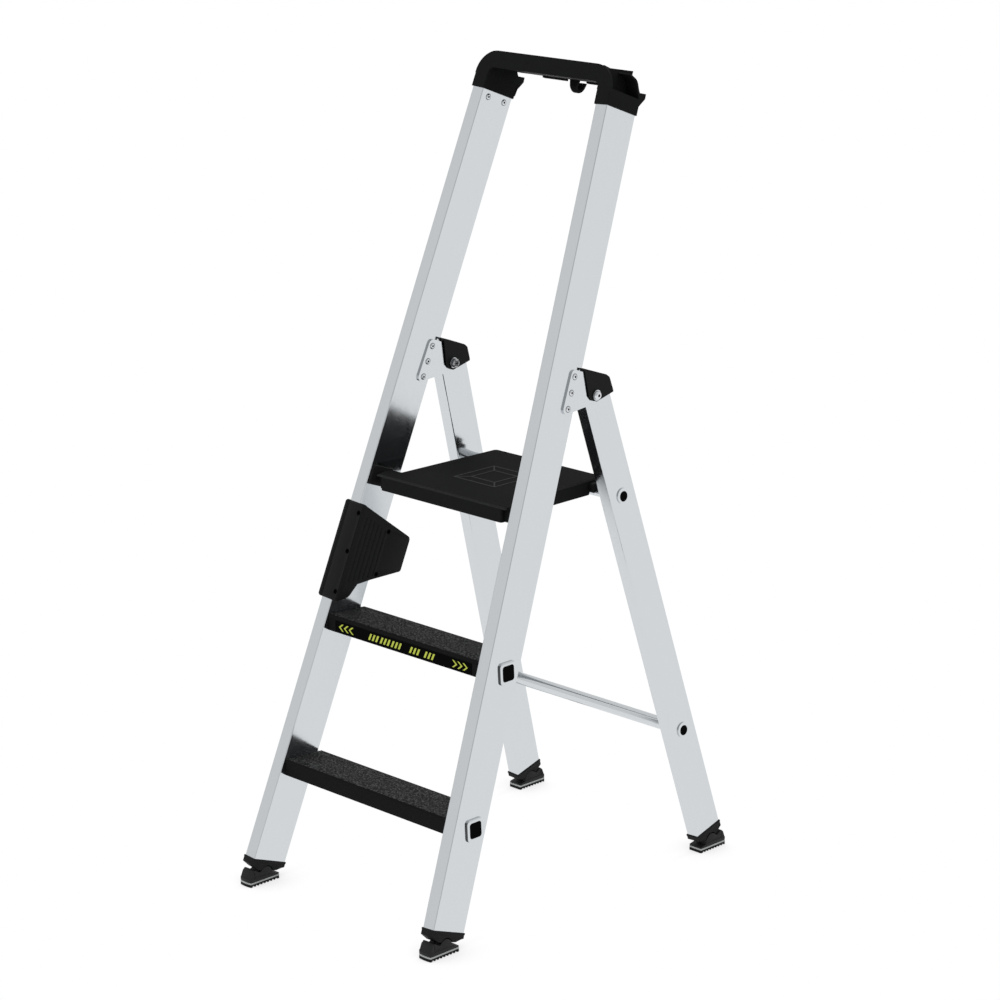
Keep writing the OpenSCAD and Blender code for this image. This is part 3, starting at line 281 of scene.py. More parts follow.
def makeFloor():
    half = studio["floorHalf"]
    corners = [(-half, -half, 0), (half, -half, 0), (half, half, 0), (-half, half, 0)]
    mesh = bpy.data.meshes.new("floor")
    mesh.from_pydata(corners, [], [(0, 1, 2, 3)])
    floor = bpy.data.objects.new("floor", mesh)
    bpy.context.scene.collection.objects.link(floor)
    material = newMaterial("paleFloor", studio["floorColour"], roughness=0.9, specular=0.0)
    # seen directly or in metal the floor is white, with a painted contact shadow under the feet
    paintedShadow = addNode(material, "ShaderNodeAmbientOcclusion", {"Distance": studio["contactReach"]}, samples=8)
    tone = mapRange(material, paintedShadow, "AO", 0.0, studio["contactEnd"], studio["contactShade"], 1.0)
    white = addNode(material, "ShaderNodeEmission")
    link(material, tone, "Result", white, "Strength")
    mix = addNode(material, "ShaderNodeMixShader")
    link(material, seenDirectly(material), "Value", mix, "Fac")
    link(material, shaderOf(material), "BSDF", mix, 1)
    link(material, white, "Emission", mix, 2)
    link(material, mix, "Shader", material.node_tree.nodes["Material Output"], "Surface")
    mesh.materials.append(material)


makeCamera()
makeWorld()
makeFloor()
makeLamp("keyLamp", studio["keyPlace"], studio["keyPower"])
makeLamp("fillLamp", studio["fillPlace"], studio["fillPower"])
scene = bpy.context.scene
scene.view_settings.view_transform = "Standard"
print("studio ready")


# metal finishes

aluminium = {
    "colour": (0.638, 0.665, 0.686),
    "roughness": (0.11, 0.19),
    "acrossStreaks": 900.0,
    "alongStreaks": 6.0,
    "bumpHeight": 0.000004,
    "bumpStrength": 0.35,
}
steel = {"colour": (0.70, 0.72, 0.74), "roughness": (0.18, 0.30), "mottle": 700.0}


def extrudedAluminium(name, rotation, along):
    # fine streaks run along one axis of the turned coordinates
    material = newMaterial(name, aluminium["colour"], roughness=0.15, metallic=1.0)
    scale = [aluminium["acrossStreaks"]] * 3
    scale[along] = aluminium["alongStreaks"]
    streaks = noiseOn(material, 1.0, detail=2.0, scale=scale, rotation=rotation)
    varyGloss(material, streaks, *aluminium["roughness"])
    addBump(material, streaks, "Fac", aluminium["bumpHeight"], aluminium["bumpStrength"])
    return material


def platedSteel(name):
    material = newMaterial(name, steel["colour"], roughness=0.25, metallic=1.0)
    varyGloss(material, noiseOn(material, steel["mottle"]), *steel["roughness"])
    return material


stileMetal = extrudedAluminium("stileAluminium", (lean, 0, 0), 2)
legMetal = extrudedAluminium("legAluminium", (-legLean, 0, 0), 2)
crossMetal = extrudedAluminium("crossAluminium", (0, 0, 0), 0)
plateMetal = extrudedAluminium("plateAluminium", (lean, 0, 0), 1)
boltSteel = platedSteel("platedSteel")


# plastics and rubber

moulding = {
    "colour": (0.0100, 0.0102, 0.0106),
    "paler": (0.0118, 0.0120, 0.0124),
    "cloud": 180.0,
    "roughness": (0.46, 0.54),
    "specular": 0.06,
    "dullSpecular": 0.012,
    "footSpecular": 0.18,
    # paler colours painted on corners, rims and raised lines as highlights
    "edgeHighlightColour": (0.040, 0.041, 0.042),
    "rimColour": (0.058, 0.058, 0.058),
    "edgeWidth": 0.0012,
    "edgeFrom": 0.995,  # a corner turns this much before it shows
    "edgeFull": 0.80,
    "rimBelow": (0.20, 0.30),  # a rim lies between a wall and a flat top
    "rimAbove": (0.93, 0.99),
    "grain": 1400.0,
    "grainHeight": 0.00002,
    "grainStrength": 0.6,
}
grit = {
    "colour": (0.0060, 0.0060, 0.0064),
    "paler": (0.078, 0.078, 0.080),
    "size": 330.0,
    "roughness": (0.75, 0.45),
    "height": 0.0009,
    "strength": 0.55,
    "specular": 0.05,
    "level": (0.90, 0.97),  # how far up a surface must look to be gritty
    "spread": (0.48, 0.62),
}
sole = {
    "colour": (0.42, 0.43, 0.43),
    "darker": (0.38, 0.39, 0.39),
    "paler": (0.47, 0.48, 0.48),
    "cloud": 60.0,
}
# near-black line of painted shade along the pad's seam groove
padSeamShade = {"inset": 7.4 * mm, "width": 1.4 * mm, "colour": (0.001, 0.001, 0.001)}


def paintSeamShade(material, direction, distance):
    # painted shade: a near-black line along a parting-line groove across the moulding, at one distance along
    # a direction
    coords = addNode(material, "ShaderNodeTexCoord")
    dot = dotProduct(material, (coords, "Object"), direction)
    near = maths(material, "COMPARE", (dot, "Value"), distance, padSeamShade["width"] / 2)
    layOver(material, near, "Value", padSeamShade["colour"])


def paintEdgeHighlights(material, colour, strength, raisedAbove=None):
    # painted highlight: corners get a paler colour that stands in for the glints on rounded edges
    bevel = addNode(material, "ShaderNodeBevel", {"Radius": moulding["edgeWidth"]}, samples=6)
    geometry = addNode(material, "ShaderNodeNewGeometry")
    dot = dotProduct(material, (bevel, "Normal"), (geometry, "True Normal"))
    paintedHighlight = mapRange(material, dot, "Value", moulding["edgeFrom"], moulding["edgeFull"], 0.0, strength)
    factor = (paintedHighlight, "Result")
    if raisedAbove is not None:
        # rounded rims and lines that stand proud of the surface catch the light as well
        raised = maths(material, "GREATER_THAN", (upwardPart(material, "Object"), "Z"), raisedAbove)
        rounded = maths(material, "SUBTRACT", (facing(material, *moulding["rimBelow"]), "Result"),
                        (facing(material, *moulding["rimAbove"]), "Result"), clamp=True)
        lit = maths(material, "MAXIMUM", (rounded, "Value"), (raised, "Value"))
        factor = (maths(material, "MAXIMUM", (paintedHighlight, "Result"), (lit, "Value")), "Value")
    layOver(material, *factor, colour)


def mouldedPlastic(name, tone=1.0, roughness=None, specular=None, edge=0.5, raisedAbove=None):
    first = [c * tone for c in moulding["colour"]]
    second = [c * tone for c in moulding["paler"]]
    material = newMaterial(name, first, specular=specular or moulding["specular"])
    cloud = noiseOn(material, moulding["cloud"], detail=4.0)
    mixColours(material, cloud, "Fac", first, second)
    # edge sets the strength of the painted highlight along corners
    if edge > 0:
        edgeTone = moulding["edgeHighlightColour"] if raisedAbove is None else moulding["rimColour"]
        paintEdgeHighlights(material, edgeTone, edge, raisedAbove)
    varyGloss(material, cloud, *(roughness or moulding["roughness"]))
    grain = noiseOn(material, moulding["grain"], detail=1.0)
    addBump(material, grain, "Fac", moulding["grainHeight"], moulding["grainStrength"])
    return material


def grittyTread(name):
    material = newMaterial(name, grit["colour"], specular=grit["specular"])
    grains = noiseOn(material, grit["size"], detail=2.5, roughness=0.7)
    # only the walking surface is gritty, the nose and the apron stay smooth
    top = facing(material, *grit["level"])
    gritty = maths(material, "MULTIPLY", (grains, "Fac"), (top, "Result"))
    # the grains' paler colour is partly the grit's own light specks and partly painted highlight standing in
    # for glints on them
    mixColours(material, gritty, "Value", grit["colour"], grit["paler"], *grit["spread"])
    varyGloss(material, grains, *grit["roughness"])
    addBump(material, gritty, "Value", grit["height"], grit["strength"])
    return material


def greyRubber(name):
    material = newMaterial(name, sole["colour"], roughness=0.7, specular=0.3)
    cloud = noiseOn(material, sole["cloud"], detail=4.0)
    mixColours(material, cloud, "Fac", sole["darker"], sole["paler"])
    return material


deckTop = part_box("platform_deck")[1][2]
dull = moulding["dullSpecular"]
blackPlastic = mouldedPlastic("blackPlastic")
gripPlastic = grittyTread("gripPlastic")
# the deck carries the strongest painted highlight, on its corners, rims and raised lines
deckPlastic = mouldedPlastic("deckPlastic", 1.15, (0.6, 0.7), dull, edge=0.9, raisedAbove=deckTop - 0.25 * mm)
padPlastic = mouldedPlastic("padPlastic", edge=0.18)
# near-black of the plugs, also used on the pad's screws and their cups as painted shade in the holes
plugPlasticAndHoleShade = mouldedPlastic("plugPlasticAndHoleShade", tone=0.14, specular=dull, edge=0.0)
bowPlastic = mouldedPlastic("bowPlastic", specular=dull, edge=0.12)
footPlastic = mouldedPlastic("footPlastic", tone=1.1, specular=moulding["footSpecular"])
knucklePlastic = mouldedPlastic("knucklePlastic", tone=1.6, specular=moulding["footSpecular"])
treadRubber = mouldedPlastic("treadRubber", tone=1.2, roughness=(0.6, 0.8))
bushPlastic = mouldedPlastic("bushPlastic", tone=18.0)
soleRubber = greyRubber("greyRubber")

padOut = stileAxes(-1)[0]
padEdge = max(vert.co.dot(padOut) for vert in nodes["carry_pad"].data.vertices)
paintSeamShade(padPlastic, padOut, padEdge - padSeamShade["inset"])


# which finish goes where

finishes = {
    "bare_aluminium": stileMetal,
    "bright_steel": boltSteel,
    "pressed_plate": plateMetal,
    "black_plastic": blackPlastic,
    "black_grip": gripPlastic,
    "pad_screws": blackPlastic,
    "marking": blackPlastic,
    "bushes": bushPlastic,
    "foot_plastic": footPlastic,
    "sole_grey": soleRubber,
    "tread_rubber": treadRubber,
    "knuckle": knucklePlastic,
}
special = {
    "handle_bow": bowPlastic,
    "tool_tray": bowPlastic,
    "bucket_hook": bowPlastic,
    "carry_pad": padPlastic,
    "carry_pad_screws": plugPlasticAndHoleShade,
    "cross_tube_plugs": plugPlasticAndHoleShade,
    "rear_leg_left": legMetal,
    "rear_leg_right": legMetal,
    "lower_cross_tube": crossMetal,
    "upper_cross_tube": crossMetal,
    "lower_step": crossMetal,
    "upper_step": crossMetal,
    "platform_deck": deckPlastic,
}
for name, node in nodes.items():
    node.data.materials.clear()
    node.data.materials.append(special.get(name) or finishes[slotOf[name]])
    for face in node.data.polygons:
        face.material_index = 0
print("finishes assigned")


# helpers for pieces in mesh code

weld = 0.002 * mm
looseWeld = 0.01 * mm
smoothAngle = math.radians(35)


def pointGroups(name):
    # the separate solids of a node, each as a list of points
    form = bmesh.new()
    form.from_mesh(nodes[name].data)
    bmesh.ops.remove_doubles(form, verts=form.verts, dist=looseWeld)
    form.verts.index_update()
    form.verts.ensure_lookup_table()
    seen = [False] * len(form.verts)
    groups = []
    for start in form.verts:
        if seen[start.index]:
            continue
        seen[start.index] = True
        stack = [start]
        points = []
        while stack:
            vert = stack.pop()
            points.append(vert.co.copy())
            for edge in vert.link_edges:
                other = edge.other_vert(vert)
                if not seen[other.index]:
                    seen[other.index] = True
                    stack.append(other)
        groups.append(points)
    form.free()
    return groups


def turnedAxis(points):
    # centre and axis of a turned solid, the axis pointing at its widest end
    cloud = numpy.array([tuple(point) for point in points])
    middle = cloud.mean(axis=0)
    values, vectors = numpy.linalg.eigh(numpy.cov((cloud - middle).T))
    odd = 0 if abs(values[0] - values[1]) > abs(values[2] - values[1]) else 2
    axis = vectors[:, odd]
    heights = (cloud - middle) @ axis
    radii = numpy.linalg.norm(cloud - middle - numpy.outer(heights, axis), axis=1)
    wide = heights[radii > radii.max() * 0.9]
    if wide.mean() < 0:
        axis = -axis
        wide = -wide
        heights = -heights
    return Vector(middle), Vector(axis), float(wide.min()), float(heights.min()), float(heights.max())


def sharedRows(outline, radius, base, height):
    # profile rows from shares of a radius and of a height above its base
    return [(radius * wide, base + height * rise, band) for wide, rise, band in outline]


def turn(form, profile, middle, axis, segments=40):
    # profile rows are radius, height and material index of the band that follows
    across = axis.orthogonal().normalized()
    upward = axis.cross(across)
    rings = []
    for radius, height, band in profile:
        centre = middle + axis * height
        if radius == 0:
            rings.append([form.verts.new(centre)])
            continue
        ring = []
        for step in range(segments):
            angle = 2 * math.pi * step / segments
            spoke = across * math.cos(angle) + upward * math.sin(angle)
            ring.append(form.verts.new(centre + spoke * radius))
        rings.append(ring)
    for row in range(len(rings) - 1):
        low, high = rings[row], rings[row + 1]
        for step in range(segments):
            after = (step + 1) % segments
            if len(low) == 1:
                corners = (low[0], high[step], high[after])
            elif len(high) == 1:
                corners = (low[step], low[after], high[0])
            else:
                corners = (low[step], low[after], high[after], high[step])
            face = form.faces.new(corners)
            face.material_index = profile[row][2]
    return rings


def prism(form, outline, origin, across, upward, normal, low, high, band=0):
    # a closed slab over an outline given in the plane of across and upward
    rings = []
    for height in (low, high):
        ring = [form.verts.new(origin + across * u + upward * v + normal * height) for u, v in outline]
        rings.append(ring)
    faces = [form.faces.new(rings[0]), form.faces.new(rings[1])]
    count = len(outline)
    for index in range(count):
        after = (index + 1) % count
        faces.append(form.faces.new((rings[0][index], rings[0][after], rings[1][after], rings[1][index])))
    for face in faces:
        face.material_index = band


def rectangle(left, right, half):
    return [(left, -half), (right, -half), (right, half), (left, half)]


def roundedOutline(width, height, radius, steps=6):
    points = []
    for cx, cy, start in ((1, 1, 0), (-1, 1, 90), (-1, -1, 180), (1, -1, 270)):
        for step in range(steps + 1):
            angle = math.radians(start + 90 * step / steps)
            points.append((cx * (width / 2 - radius) + radius * math.cos(angle),
                           cy * (height / 2 - radius) + radius * math.sin(angle)))
    return points


def addPiece(name, form, body, materials, replaced=()):
    bmesh.ops.recalc_face_normals(form, faces=form.faces)
    mesh = bpy.data.meshes.new(name)
    form.to_mesh(mesh)
    form.free()
    for material in materials:
        mesh.materials.append(material)
    for face in mesh.polygons:
        face.use_smooth = True
    mesh.set_sharp_from_angle(angle=smoothAngle)
    piece = bpy.data.objects.new(name, mesh)
    bpy.context.scene.collection.objects.link(piece)
    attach(piece, body)
    if replaced:
        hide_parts(*replaced)
    print("made", name, "with", len(mesh.polygons), "faces")


# fixings, whose bands are bright metal, a dull grey of painted shade in grooves and under rims, and a
# near-black of painted shade in hollows

bright, shaded, dark = 0, 1, 2
fixing = {
    "rimColour": (0.16, 0.17, 0.18),
    "eyeColour": (0.012, 0.012, 0.013),
    "nutColour": (0.36, 0.37, 0.38),
    "nutRoughness": (0.24, 0.38),
    "nutMottle": 800.0,
    "grain": 900.0,
    "grainHeight": 0.00001,
    "grainStrength": 0.4,
    "cutProud": 0.06 * mm,  # near-black slabs of painted shade that stand for cuts in an end face
    "cutDepth": 0.3 * mm,
    "segments": 48,
}
# rivetRim and rivetEye are painted shade: a dull grey at rims and grooves, near-black in eyes, sockets, bores
# and cuts
rivetRim = newMaterial("rivetRim", fixing["rimColour"], roughness=0.35, metallic=0.6)
rivetEye = newMaterial("rivetEye", fixing["eyeColour"], specular=0.1)
for shade in (rivetRim, rivetEye):
    addBump(shade, noiseOn(shade, fixing["grain"]), "Fac", fixing["grainHeight"], fixing["grainStrength"])
nutSteel = newMaterial("nutSteel", fixing["nutColour"], roughness=0.3, metallic=0.9)
varyGloss(nutSteel, noiseOn(nutSteel, fixing["nutMottle"]), *fixing["nutRoughness"])

rivet = {
    "shank": 2.3 * mm,
    "flange": 5.6 * mm,
    "flangeRise": 0.16,
    "dome": 4.5 * mm,
    "domeOutline": ((1.10, 0.26, shaded), (1.04, 0.16, bright), (1.0, 0.45, bright), (0.86, 0.80, bright)),
    "crown": 2.9 * mm,
    "eye": 2.0 * mm,
    "eyeTaper": 0.9,
    "eyeFloor": 0.25,
    "height": 1.5 * mm,
}


def makeRivets(name, source):
    form = bmesh.new()
    top, shank, flange, eye = rivet["height"], rivet["shank"], rivet["flange"], rivet["eye"]
    for points in pointGroups(source):
        middle, axis, seat, low, high = turnedAxis(points)
        eyeFloor = seat + top * rivet["eyeFloor"]
        profile = [(0, low, bright), (shank, low, bright), (shank, seat, shaded)]
        profile += [(flange, seat, shaded), (flange, seat + top * rivet["flangeRise"], shaded)]
        profile += sharedRows(rivet["domeOutline"], rivet["dome"], seat, top)
        profile += [(rivet["crown"], seat + top, bright), (eye, seat + top, dark)]
        profile += [(eye * rivet["eyeTaper"], eyeFloor, dark), (0, eyeFloor, dark)]
        turn(form, profile, middle, axis)
    addPiece(name, form, bodyOfNode[source], [boltSteel, rivetRim, rivetEye], (source,))


pivotBolt = {
    "shank": 5.0 * mm,
    "chamfer": 1.0 * mm,
    "tip": 0.85,
    "head": 7.6 * mm,
    "headHeight": 4.2 * mm,
    "headOutline": ((0.97, 0, shaded), (1.0, 0.14, bright), (1.0, 0.34, bright),
                    (0.93, 0.60, bright), (0.80, 0.83, bright), (0.62, 1.0, bright)),
    "socket": 2.9 * mm,
    "socketRim": 1.25,
    "socketTaper": 0.96,
    "socketDepth": 2.4 * mm,
    "crossArm": 4.0 * mm,
    "crossWidth": 2.2 * mm,
}


def cutSocket(form, rim, middle, axis, top):
    # six-sided socket whose walls and floor are near-black painted shade, sewn into the rim of a turned head
    across = axis.orthogonal().normalized()
    upward = axis.cross(across)
    segments = len(rim)
    facet = math.pi / 6
    floor = axis * (top - pivotBolt["socketDepth"])
    upper, lower = [], []
    for step in range(segments):
        angle = 2 * math.pi * step / segments
        corner = (angle + facet) % (2 * facet) - facet
        reach = pivotBolt["socket"] * math.cos(facet) / math.cos(corner)
        spoke = across * math.cos(angle) + upward * math.sin(angle)
        upper.append(form.verts.new(middle + spoke * reach + axis * top))
        lower.append(form.verts.new(middle + spoke * reach * pivotBolt["socketTaper"] + floor))
    floorVert = form.verts.new(middle + floor)
    for step in range(segments):
        after = (step + 1) % segments
        form.faces.new((rim[step], rim[after], upper[after], upper[step]))
        wall = form.faces.new((upper[step], upper[after], lower[after], lower[step]))
        wall.material_index = dark
        base = form.faces.new((lower[step], lower[after], floorVert))
        base.material_index = dark


def makeBolts():
    form = bmesh.new()
    shank, head, rise = pivotBolt["shank"], pivotBolt["head"], pivotBolt["headHeight"]
    cross = rectangle(-pivotBolt["crossArm"], pivotBolt["crossArm"], pivotBolt["crossWidth"] / 2)
    for points in pointGroups("pivot_bolts"):
        middle, axis, seat, low, high = turnedAxis(points)
        profile = [(0, low, shaded), (shank * pivotBolt["tip"], low, shaded)]
        profile += [(shank, low + pivotBolt["chamfer"], bright), (shank, seat, shaded)]
        profile += sharedRows(pivotBolt["headOutline"], head, seat, rise)
        profile += [(pivotBolt["socket"] * pivotBolt["socketRim"], seat + rise, bright)]
        rings = turn(form, profile, middle, axis, fixing["segments"])
        # cross cut in the far end, as slabs of painted shade
        across = axis.orthogonal().normalized()
        upward = axis.cross(across)
        for u, v in ((across + upward, upward - across), (upward - across, across + upward)):
            prism(form, cross, middle, u.normalized(), v.normalized(), axis,
                  low - fixing["cutProud"], low + fixing["cutDepth"], dark)
        cutSocket(form, rings[-1], middle, axis, seat + rise)
    addPiece("pivotBolts", form, bodyOfNode["pivot_bolts"],
             [boltSteel, rivetRim, rivetEye], ("pivot_bolts",))


barrelNut = {
    "radius": 7.8 * mm,
    "bore": 4.9 * mm,
    "inner": 0.94,
    "innerChamfer": 0.5 * mm,
    "grooveOutline": ((1.0, 0.30, shaded), (0.93, 0.36, shaded), (0.93, 0.48, bright), (1.0, 0.54, bright)),
    "outer": 0.90,
    "outerChamfer": 0.8 * mm,
    "slot": 2.2 * mm,
    "slotTurn": 0.6,
    "slotInner": 1.02,
    "slotOuter": 0.86,
}


def makeBarrelNuts():
    # a turned nut with a cross slot filed in its end; the slot and the bore are near-black painted shade, the
    # lower side and the groove a grey painted shade
    form = bmesh.new()
    radius, bore = barrelNut["radius"], barrelNut["bore"]
    near, far = bore * barrelNut["slotInner"], radius * barrelNut["slotOuter"]
    for points in pointGroups("pivot_nuts"):
        middle, axis, seat, low, high = turnedAxis(points)
        if axis.x * middle.x > 0:
            axis = -axis
            low, high = -high, -low
        profile = [(bore, low, bright), (radius * barrelNut["inner"], low, bright)]
        profile += [(radius, low + barrelNut["innerChamfer"], shaded)]
        profile += sharedRows(barrelNut["grooveOutline"], radius, low, high - low)
        profile += [(radius, high - barrelNut["outerChamfer"], bright)]
        profile += [(radius * barrelNut["outer"], high, bright), (bore, high, dark), (bore, low, bright)]
        turn(form, profile, middle, axis, fixing["segments"])
        across = Vector((0, math.cos(barrelNut["slotTurn"]), math.sin(barrelNut["slotTurn"])))
        across = (across - axis * across.dot(axis)).normalized()
        upward = axis.cross(across)
        for u, v in ((across, upward), (upward, across)):
            for side in (-1, 1):
                slot = rectangle(side * near, side * far, barrelNut["slot"] / 2)
                prism(form, slot, middle, u, v, axis,
                      high - fixing["cutDepth"], high + fixing["cutProud"], dark)
    addPiece("barrelNuts", form, bodyOfNode["pivot_nuts"],
             [nutSteel, rivetRim, rivetEye], ("pivot_nuts",))


makeRivets("hingeRivets", "hinge_rivets")
makeRivets("handleRivets", "handle_rivets")
makeBolts()
makeBarrelNuts()


# ends of the step tubes

stepEnd = {
    "opening": 26.8 * mm,
    "corner": 5.0 * mm,
    "lipDepth": 0.6 * mm,
    "lipProud": 0.5 * mm,
    "plugPlay": 0.1 * mm,
    "plugDepth": 9.0 * mm,
    "plugRecess": 0.5 * mm,
    "collar": 35.4 * mm,
    "collarCorner": 6.0 * mm,
    "collarProud": 0.35 * mm,
    "side": 36.5 * mm,
    "sideCorner": 6.4 * mm,
    "sideDepth": 3.0 * mm,
    "sideProud": 0.1 * mm,
    "rim": 0.9 * mm,
    "shade": (0.125, 0.128, 0.132),
    "shadeRoughness": (0.30, 0.42),
    "mottle": 700.0,
}
# painted shade: the collar's sides take a dull dark grey instead of the aluminium of its face
collarPaintedShade = newMaterial("collarPaintedShade", stepEnd["shade"], roughness=0.45, specular=0.05)
varyGloss(collarPaintedShade, noiseOn(collarPaintedShade, stepEnd["mottle"]), *stepEnd["shadeRoughness"])


def makeStepEnds():
    # rounded plugs, and the swaged collar faces that frame them
    plugs = bmesh.new()
    faces = bmesh.new()
    plugSize = stepEnd["opening"] - stepEnd["plugPlay"]
    plug = roundedOutline(plugSize, plugSize, stepEnd["corner"])
    opening = roundedOutline(stepEnd["opening"], stepEnd["opening"], stepEnd["corner"])
    collar = roundedOutline(stepEnd["collar"], stepEnd["collar"], stepEnd["collarCorner"])
    skirt = roundedOutline(stepEnd["side"], stepEnd["side"], stepEnd["sideCorner"])
    # rows are outline, height and material index, the band of a side with painted shade is 1
    section = [
        (skirt, -stepEnd["sideDepth"], 1),
        (skirt, stepEnd["sideProud"], 0),
        (collar, stepEnd["collarProud"], 0),
        (opening, stepEnd["lipProud"], 0),
        (opening, -stepEnd["lipDepth"], 0),
        (collar, -stepEnd["sideDepth"], 1),
    ]
    count = len(opening)
    for points in pointGroups("step_end_plugs"):
        low = Vector([min(point[k] for point in points) for k in range(3)])
        high = Vector([max(point[k] for point in points) for k in range(3)])
        middle = (low + high) / 2
        side = 1 if middle.x > 0 else -1
        out, back, along = stileAxes(side)
        level = back * math.cos(lean) + along * math.sin(lean)
        upward = along * math.cos(lean) - back * math.sin(lean)
        rim = Vector((high.x if side > 0 else low.x, middle.y, middle.z)) + out * stepEnd["rim"]
        prism(plugs, plug, rim, level, upward, out, -stepEnd["plugDepth"], -stepEnd["plugRecess"])
        rings = []
        for outline, height, band in section:
            rings.append([faces.verts.new(rim + level * u + upward * v + out * height) for u, v in outline])
        for row, (first, second) in enumerate(zip(rings, rings[1:] + rings[:1])):
            for index in range(count):
                after = (index + 1) % count
                face = faces.faces.new((first[index], first[after], second[after], second[index]))
                face.material_index = section[row][2]
    addPiece("stepEndPlugs", plugs, "front_frame", [plugPlasticAndHoleShade], ("step_end_plugs",))
    addPiece("stepCollarFaces", faces, "front_frame", [plateMetal, collarPaintedShade])


makeStepEnds()


# screw holes of the carrying pad

padCup = {
    "outer": 4.3 * mm,
    "crest": 0.9,
    "inner": 3.0 * mm,
    "proud": 0.12 * mm,
    "holeDepth": 1.0 * mm,
    "searchFrom": 30 * mm,
    "searchReach": 60 * mm,
    "segments": 32,
}


def makePadCups():
    # countersunk mouths of the holes that the pad's screws sit in, in near-black as painted shade in the
    # holes
    form = bmesh.new()
    pad = nodes["carry_pad"].data
    shape = BVHTree.FromPolygons([vert.co for vert in pad.vertices], [face.vertices for face in pad.polygons])
    inner, outer, proud = padCup["inner"], padCup["outer"], padCup["proud"]
    for points in pointGroups("carry_pad_screws"):
        middle, axis = turnedAxis(points)[:2]
        beside = axis.orthogonal().normalized() * outer
        hit = shape.ray_cast(middle + beside + axis * padCup["searchFrom"], -axis, padCup["searchReach"])
        if hit[0] is None:
            continue
        mouth = (hit[0] - middle).dot(axis)
        foot = mouth - padCup["holeDepth"]
        shoulder = mouth + proud * 0.5
        profile = [(inner, foot, 0), (inner, shoulder, 0), (outer * padCup["crest"], mouth + proud, 0)]
        profile += [(outer, shoulder, 0), (outer, foot, 0), (inner, foot, 0)]
        turn(form, profile, middle, axis, padCup["segments"])
    bmesh.ops.remove_doubles(form, verts=form.verts, dist=weld)
    addPiece("padCups", form, bodyOfNode["carry_pad_screws"], [plugPlasticAndHoleShade])


makePadCups()


# strip on the upper step

marking = {
    "corner": 1.2 * mm,
    "sunk": 0.1 * mm,
    "proud": 0.08 * mm,
    "chevronHeight": 12.5 * mm,
    "chevronReach": 8.0 * mm,
    "chevronStroke": 3.9 * mm,
    "chevronPitch": 12.2 * mm,
    "chevronInset": 9.0 * mm,
    "barHeight": 11.5 * mm,
    "barWidth": 4.4 * mm,
    "barSlant": 5.5 * mm,
    "barPitch": 8.6 * mm,
    "groups": (-69 * mm, -41 * mm, -14 * mm, 30 * mm, 65 * mm),
    "yellow": (0.55, 0.62, 0.08),
    "deeper": 0.88,
    "inkCloud": 260.0,
    "black": (0.0006, 0.0006, 0.0007),
    "filmRoughness": (0.30, 0.42),
    "filmCloud": 120.0,
}


def chevron(tip, side):
    half, reach, stroke = marking["chevronHeight"] / 2, marking["chevronReach"], marking["chevronStroke"]
    upper = [(0, 0), (reach, half), (reach + stroke, half)]
    lower = [(stroke, 0), (reach + stroke, -half), (reach, -half)]
    return [(tip - side * u, v) for u, v in upper + lower]


def slantedBar(middle):
    half, slant, tall = marking["barWidth"] / 2, marking["barSlant"] / 2, marking["barHeight"] / 2
    return [(middle - slant - half, -tall), (middle - slant + half, -tall),
            (middle + slant + half, tall), (middle + slant - half, tall)]


def markingMaterials():
    ink = newMaterial("markingYellow", marking["yellow"], specular=0.2)
    deeper = [c * marking["deeper"] for c in marking["yellow"]]
    mixColours(ink, noiseOn(ink, marking["inkCloud"]), "Fac", deeper, marking["yellow"])
    film = newMaterial("markingFilm", marking["black"], roughness=0.35, specular=0.015)
    varyGloss(film, noiseOn(film, marking["filmCloud"]), *marking["filmRoughness"])
    return [film, ink]


def makeMarkingStrip():
    low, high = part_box("marking_strip")
    low, high = Vector(low), Vector(high)
    width, height = high.x - low.x, high.z - low.z
    origin = Vector((0, low.y, (low.z + high.z) / 2))
    across, upward, normal = Vector((1, 0, 0)), Vector((0, 0, 1)), Vector((0, -1, 0))
    form = bmesh.new()
    strip = roundedOutline(width, height, marking["corner"])
    prism(form, strip, origin, across, upward, normal, low.y - high.y, 0)
    signs = []
    for side in (-1, 1):
        for count in range(3):
            reach = width / 2 - marking["chevronInset"] - count * marking["chevronPitch"]
            signs.append(chevron(side * reach, side))
    for centre in marking["groups"]:
        for shift in (-1, 0, 1):
            signs.append(slantedBar(centre + shift * marking["barPitch"]))
    for sign in signs:
        prism(form, sign, origin, across, upward, normal, -marking["sunk"], marking["proud"], 1)
    addPiece("markingStrip", form, bodyOfNode["marking_strip"],
             markingMaterials(), ("marking_strip",))


makeMarkingStrip()


# softened edges of the mouldings

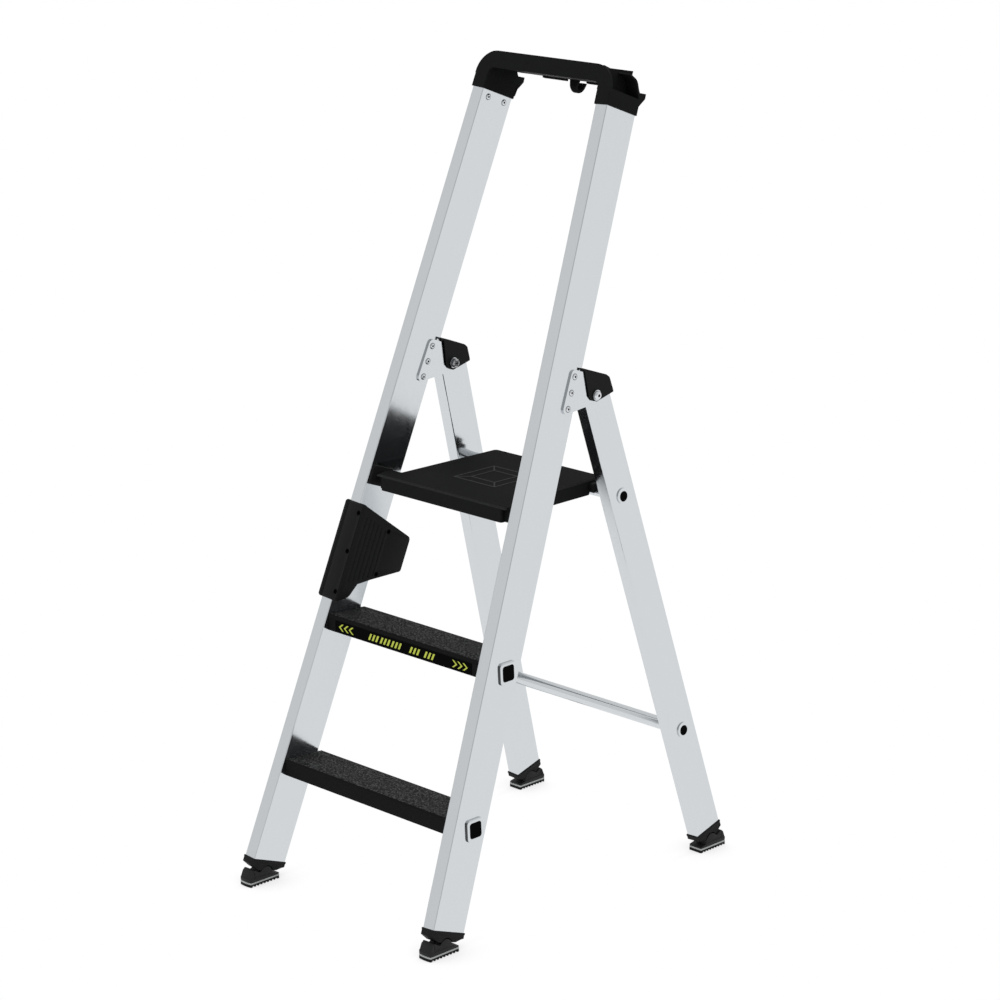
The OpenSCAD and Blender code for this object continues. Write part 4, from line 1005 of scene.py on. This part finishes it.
feet = [end + "_" + side for end in ("front", "rear") for side in ("left", "right")]
softEdges = {
    "bucket_hook": 0.8 * mm,
    "carry_pad": 0.8 * mm,
    "platform_bracket_left": 0.8 * mm,
    "platform_bracket_right": 0.8 * mm,
    "platform_catches": 0.6 * mm,
    **{"foot_cap_" + foot: 0.6 * mm for foot in feet},
    **{"foot_shoe_" + foot: 0.6 * mm for foot in feet},
    **{"foot_knuckle_" + foot: 0.4 * mm for foot in feet},
}
softening = {
    "shares": (1.0, 0.6, 0.35),  # shares of the width, tried in turn until one holds
    "flatAngle": math.radians(0.4),
    "sharpAngle": 0.55,
    "segments": 2,
    "profile": 0.6,
    "volumeChange": 0.03,
    "reach": 1.6,
}


def softForm(source, width):
    form = bmesh.new()
    form.from_mesh(source.data)
    bmesh.ops.remove_doubles(form, verts=form.verts, dist=weld)
    bmesh.ops.dissolve_limit(form, angle_limit=softening["flatAngle"], verts=form.verts, edges=form.edges)
    sharp = [edge for edge in form.edges
             if len(edge.link_faces) == 2 and edge.calc_face_angle(0) > softening["sharpAngle"]]
    bmesh.ops.bevel(form, geom=sharp, offset=width, offset_type="WIDTH", affect="EDGES",
                    segments=softening["segments"], profile=softening["profile"], clamp_overlap=False)
    bmesh.ops.triangulate(form, faces=[face for face in form.faces if len(face.verts) > 4])
    bmesh.ops.remove_doubles(form, verts=form.verts, dist=weld)
    bmesh.ops.dissolve_degenerate(form, edges=form.edges, dist=weld / 2)
    return form


def soundForm(form, source, width):
    # a softened copy is kept only if it is closed and hugs the shape it came from
    if any(not edge.is_manifold for edge in form.edges):
        return False
    shape = bmesh.new()
    shape.from_mesh(source.data)
    tree = BVHTree.FromBMesh(shape)
    wanted = abs(shape.calc_volume())
    shape.free()
    if abs(abs(form.calc_volume()) - wanted) > softening["volumeChange"] * wanted:
        return False
    return all(tree.find_nearest(vert.co)[3] < width * softening["reach"] for vert in form.verts)


def softenMoulding(name, width):
    source = nodes[name]
    for share in softening["shares"]:
        form = softForm(source, width * share)
        if soundForm(form, source, width * share):
            finish = source.data.materials[0]
            addPiece(name + "_soft", form, bodyOfNode[name], [finish], (name,))
            return
        form.free()
    print("kept", name)


for name, width in softEdges.items():
    softenMoulding(name, width)
